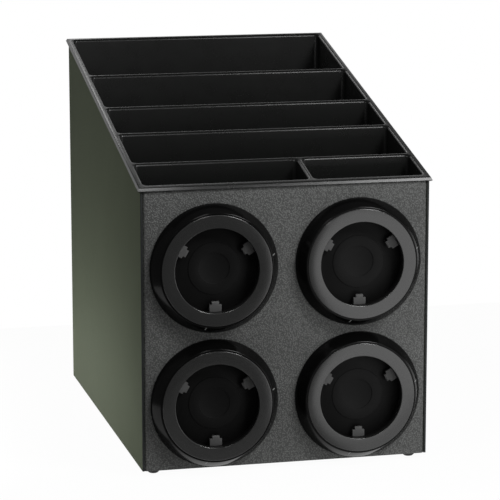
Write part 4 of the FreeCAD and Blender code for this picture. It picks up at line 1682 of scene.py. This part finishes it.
@dataclass
class Studio:
    """Floor, room, lamps and camera.

    Attributes:
        camera_place: Camera from the middle of the front panel's lower edge.
        yaw: Turn of the view to the right, in degrees.
        pitch: Tilt of the view downwards, in degrees.
        roll: Turn of the picture, in degrees.
        focal_pixels: Focal length in picture elements.
        picture_pixels: Width of the picture.
        sensor: Width of the sensor, in millimetres.
        view_end: Distance up to which the camera sees.
        floor_size: Width of the floor.
        floor_gap: Gap between the floor and the feet.
        floor_colour: Colour of the floor where it takes the object's shadow.
        floor_glow: Share of the floor's white that doesn't take the object's shadow.
        card_side: Places across the floor where a dark card before the left dispensers fades out.
        card_rear: Places along the floor where it does. Only reflections show the card.
        card_depth: Share of the floor's white that the card takes away.
        room: Level of the room's light.
        backdrop: White screen to the rear, which only reflections show: shares of their direction between
            which it fades in to the rear, fades in upwards and fades out again above.
        wing: White screen to the right, in the same way.
        lamps: The lamps.
    """

    camera_place: tuple[float, float, float] = (-0.7563, -2.8950, 0.8536)
    yaw: float = 13.74
    pitch: float = 10.83
    roll: float = -0.02
    focal_pixels: float = 2378.0
    picture_pixels: float = 500.0
    sensor: float = 36.0
    view_end: float = 50.0
    floor_size: float = 1.3
    floor_gap: float = 0.2 * MM
    floor_colour: Colour = (0.80, 0.80, 0.79)
    floor_glow: float = 0.97
    card_side: Span = (0.06, 0.12)
    card_rear: Span = (-0.34, -0.26)
    card_depth: float = 0.72
    room: float = 0.15
    backdrop: tuple[Span, Span, Span] = ((0.3, 0.6), (-0.08, 0.0), (0.45, 0.58))
    wing: tuple[Span, Span, Span] = ((0.55, 0.8), (-0.35, -0.2), (0.1, 0.3))
    lamps: tuple[Lamp, ...] = (
        Lamp("key", (0.60, -1.00, 1.10), (0.0, -0.27, 0.2), (0.4, 0.4), 11.3),
        Lamp("low_right", (0.338, -0.62, 0.17), (0.338, 0.0, 0.17), (0.445, 0.36), 0.68),
        Lamp("top_left", (-0.14, -0.45, 0.62), (-0.12, -0.26, 0.36), (0.10, 0.10), 0.47),
        Lamp("upper_left", (-1.0, -1.6, 1.2), (0.0, -0.27, 0.2), (0.12, 0.12), 0.4),
        Lamp("low_left", (-0.42, 0.16, 0.03), (-0.19, 0.14, 0.02), (0.8, 0.05), 1.26, mirrored=False),
        Lamp("left_wall", (-1.2, 0.0, 0.9), (-0.19, 0.0, 0.2), (0.5, 0.5), 3.4, mirrored=False),
        Lamp("rear", (-0.12, 1.1, 1.3), (-0.15, 0.0, 0.4), (0.3, 0.3), 1.5),
    )

    def build(self) -> None:
        """Set up the whole studio."""
        bpy.context.scene.view_settings.view_transform = "Standard"
        self.camera()
        self.floor()
        self.walls()
        for lamp in self.lamps:
            lamp.hang()

    def camera(self) -> None:
        """Place the camera at the photograph's angle."""
        data = bpy.data.cameras.new("camera")
        data.sensor_width = self.sensor
        data.lens = self.focal_pixels / self.picture_pixels * self.sensor
        data.clip_end = self.view_end
        eye = bpy.data.objects.new("camera", data)
        bpy.context.scene.collection.objects.link(eye)
        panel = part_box("front_panel")[0]
        eye.location = Vector(self.camera_place) + Vector((0, panel.y, panel.z))
        yaw, pitch = math.radians(self.yaw), math.radians(self.pitch)
        ahead = Vector((math.sin(yaw) * math.cos(pitch), math.cos(yaw) * math.cos(pitch), -math.sin(pitch)))
        turn = ahead.to_track_quat("-Z", "Y").to_matrix() @ Matrix.Rotation(math.radians(self.roll), 3, "Z")
        eye.rotation_euler = turn.to_euler()
        bpy.context.scene.camera = eye

    def floor(self) -> None:
        """Lay a pale floor that shows white and keeps a soft shadow."""
        half = Vector((self.floor_size / 2, self.floor_size / 2, 0))
        level = Vector((0, 0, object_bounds()[0].z - self.floor_gap))
        plane = Piece.sheet("studio_floor", level - half, level + half).obj
        material = bpy.data.materials.new("studio_floor")
        material.use_nodes = True
        board = Board(material.node_tree)
        matt = board.node("ShaderNodeBsdfDiffuse", None, {"Color": (*self.floor_colour, 1)})
        across, along, _ = board.axes(board.place())
        card = (1 - board.way(across, *self.card_side)) * (1 - board.way(along, *self.card_rear))
        shown = 1 - self.card_depth * card * (1 - board.ray("Camera"))
        glow = board.node("ShaderNodeEmission", None, {"Color": shown, "Strength": 1.0})
        surface = board.node("ShaderNodeMixShader", None,
                             {0: board.beheld() * self.floor_glow, 1: matt, 2: glow})
        board.show("ShaderNodeOutputMaterial", surface)
        plane.data.materials.append(material)
        plane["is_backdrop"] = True

    def walls(self) -> None:
        """Show white behind the object, to the camera all round, and a dim room elsewhere."""
        world = bpy.data.worlds.new("studio")
        bpy.context.scene.world = world
        world.use_nodes = True
        board = Board(world.node_tree)
        right, rear, up = board.axes(board.node("ShaderNodeTexCoord", output="Generated"))
        screens = self.screen(board, rear, up, self.backdrop) + self.screen(board, right, up, self.wing)
        white = (board.ray("Camera") + board.beheld() * screens).clamped()
        strength = self.room + (1 - self.room) * white
        board.show("ShaderNodeOutputWorld", board.node("ShaderNodeBackground", None, {
            "Color": (1, 1, 1, 1), "Strength": strength}))

    @staticmethod
    def screen(board: Board, towards: Wire, up: Wire, spans: tuple[Span, Span, Span]) -> Wire:
        """Return 1 in the directions in which a screen stands.

        Args:
            board: The world's tree.
            towards: A direction's share towards the screen's side.
            up: Its share upwards.
            spans: Shares between which the screen fades in to its side, fades in upwards and fades out.

        Returns:
            The screen's cover.
        """
        side, foot, top = spans
        return board.way(towards, *side) * board.way(up, *foot) * (1 - board.way(up, *top))


def dress_solids() -> None:
    """Give every solid of the frame the finish of its material slot."""
    slots = {row["node"]: row["material_slot"] for row in frame["record"]["subparts"]}
    for node, obj in frame["nodes"].items():
        dress(obj, SLOT_FINISHES[slots[node]])


def main() -> None:
    """Build the cabinet's pieces in order, then the studio."""
    logging.basicConfig(level=logging.INFO, format="%(name)s: %(message)s")
    dress_solids()
    Cabinet().build()
    OrganizerTray().build()
    Dispensers().build()
    Studio().build()


if __name__ == "__main__":
    main()
